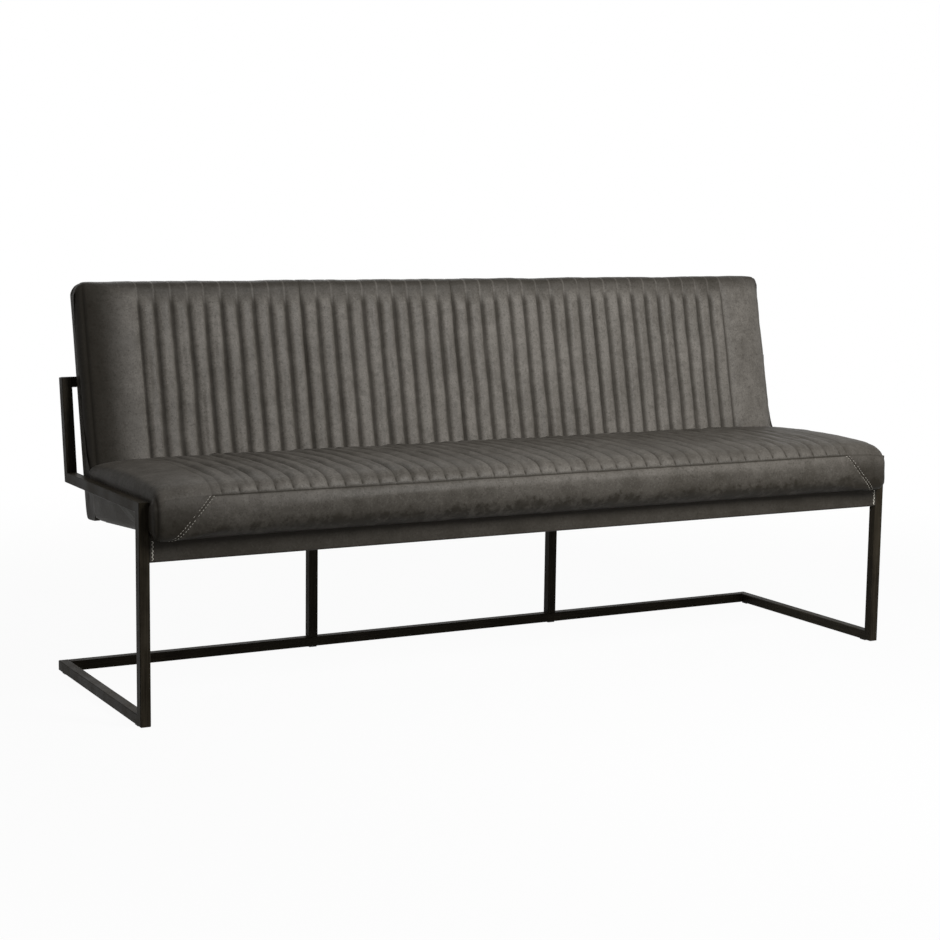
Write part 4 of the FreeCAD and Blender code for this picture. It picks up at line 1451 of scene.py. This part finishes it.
@dataclass(frozen=True)
class Lamp:
    """One soft box."""

    name: str
    place: tuple[float, float, float]
    aim: tuple[float, float, float]
    size: float
    power: float

    def build(self) -> None:
        """Hangs the lamp and turns it to its aim."""
        data = bpy.data.lights.new(self.name, "AREA")
        data.shape = "SQUARE"
        data.size = self.size
        data.energy = self.power
        lamp = bpy.data.objects.new(self.name, data)
        lamp.location = self.place
        way = Vector(self.aim) - Vector(self.place)
        lamp.rotation_euler = way.to_track_quat("-Z", "Y").to_euler()
        bpy.context.scene.collection.objects.link(lamp)


@dataclass
class Studio:
    """Pale floor, soft light, and the camera at the photograph's place."""

    camera_place: tuple[float, float, float] = (-2.205, -3.934, 1.051)
    yaw: float = 28.61
    pitch: float = 7.81
    roll: float = 0.78
    focal_pixels: float = 2011.0
    world_level: float = 0.13
    floor_size: float = 30.0
    shadow_share: float = 0.045
    shadow_near: float = 1.2
    shadow_far: float = 3.0
    lamps: tuple[Lamp, ...] = (
        Lamp("key", (0.5, -1.8, 1.65), (0.25, 0.1, 0.6), 0.8, 70.0),
        Lamp("top", (0.2, -0.6, 3.2), (0.0, 0.0, 0.5), 2.0, 8.0),
        Lamp("rear", (0.5, 2.4, 2.6), (0.0, 0.1, 0.8), 1.8, 25.0),
    )

    def camera(self) -> None:
        """Sets the camera by its place, turn and focal length."""
        yaw, pitch, roll = (math.radians(v) for v in (self.yaw, self.pitch, self.roll))
        ahead = Vector((math.sin(yaw) * math.cos(pitch), math.cos(yaw) * math.cos(pitch), -math.sin(pitch)))
        right = Vector((math.cos(yaw), -math.sin(yaw), 0.0))
        up = right.cross(ahead)
        turned = right * math.cos(roll) + up * math.sin(roll)
        raised = up * math.cos(roll) - right * math.sin(roll)
        data = bpy.data.cameras.new("camera")
        data.sensor_width = 36.0
        data.lens = self.focal_pixels * data.sensor_width / PHOTO_PIXELS
        camera = bpy.data.objects.new("camera", data)
        turn = Matrix((turned, raised, -ahead)).transposed().to_4x4()
        camera.matrix_world = Matrix.Translation(self.camera_place) @ turn
        bpy.context.scene.collection.objects.link(camera)
        bpy.context.scene.camera = camera

    def background(self) -> None:
        """A soft even world that is white where it is looked at."""
        world = bpy.data.worlds.new("studio")
        bpy.context.scene.world = world
        world.use_nodes = True
        graph = Graph(world.node_tree)
        light = graph.add("ShaderNodeBackground", {}, {"Color": (1, 1, 1, 1), "Strength": self.world_level})
        white = graph.add("ShaderNodeBackground", {}, {"Color": (1, 1, 1, 1), "Strength": 1.0})
        mixed = graph.add("ShaderNodeMixShader", {}, {0: self.looked_at(graph), 1: light, 2: white})
        graph.surface(mixed, "ShaderNodeOutputWorld")

    @staticmethod
    def looked_at(graph: Graph) -> Signal:
        """Tells what is looked at from what only lights.

        Args:
            graph: the graph that asks.

        Returns:
            1 for rays from the camera, mirrors and glass.
        """
        rays = [graph.add("ShaderNodeLightPath", {}, {}, name)
                for name in ("Is Camera Ray", "Is Glossy Ray", "Is Transmission Ray")]
        return rays[0].either(rays[1]).either(rays[2])

    def floor(self) -> None:
        """A pale floor that keeps a faint shadow near the bench."""
        deselect()
        bpy.ops.mesh.primitive_plane_add(size=self.floor_size)
        floor = bpy.context.object
        floor.name = "studio_floor"
        material, graph = new_material("pale_floor")
        away = graph.add("ShaderNodeVectorMath", {"operation": "LENGTH"}, {0: graph.place()}, "Value")
        far = away.step(self.shadow_near, self.shadow_far)
        clear = (1.0 - self.shadow_share) + far * self.shadow_share
        matt = graph.add("ShaderNodeBsdfDiffuse", {}, {"Color": (0.5, 0.5, 0.5, 1.0)})
        white = graph.add("ShaderNodeEmission", {}, {"Color": (1, 1, 1, 1), "Strength": 1.0})
        share = clear * self.looked_at(graph)
        graph.surface(graph.add("ShaderNodeMixShader", {}, {0: share, 1: matt, 2: white}))
        dress(floor, material)

    def build(self) -> None:
        """Sets up the whole studio."""
        bpy.context.scene.view_settings.view_transform = "Standard"
        self.floor()
        self.background()
        for lamp in self.lamps:
            lamp.build()
        self.camera()


def main() -> None:
    """Builds the pieces in order and reports each."""
    logging.basicConfig(level=logging.INFO, format="%(name)s: %(message)s")
    Studio().build()
    TubeFrame().finish()
    SmallParts().finish()
    RailSleeve().build()
    seat = SeatCushion(
        name="seat_cushion",
        half=900 * MM,
        end_round=20 * MM,
        rear_square=0.9,
        end_span=5,
        stands_for=("seat_foam", "seat_channel_cover", "seat_front_cover",
                    "left_seat_end_cover", "right_seat_end_cover"),
        fill=0.8,
    )
    seat.build()
    for row in seat.stitch():
        LOG.info("%s: %d points", row.name, len(row.data.vertices))
    back = BackCushion(
        name="back_cushion",
        half=896.5 * MM,
        end_round=20 * MM,
        rear_square=0.6,
        end_span=14,
        stands_for=("back_foam", "back_channel_cover", "left_back_end_cover",
                    "right_back_end_cover", "back_rear_cover"),
        fill=0.8,
    )
    back.build()


if __name__ == "__main__":
    main()
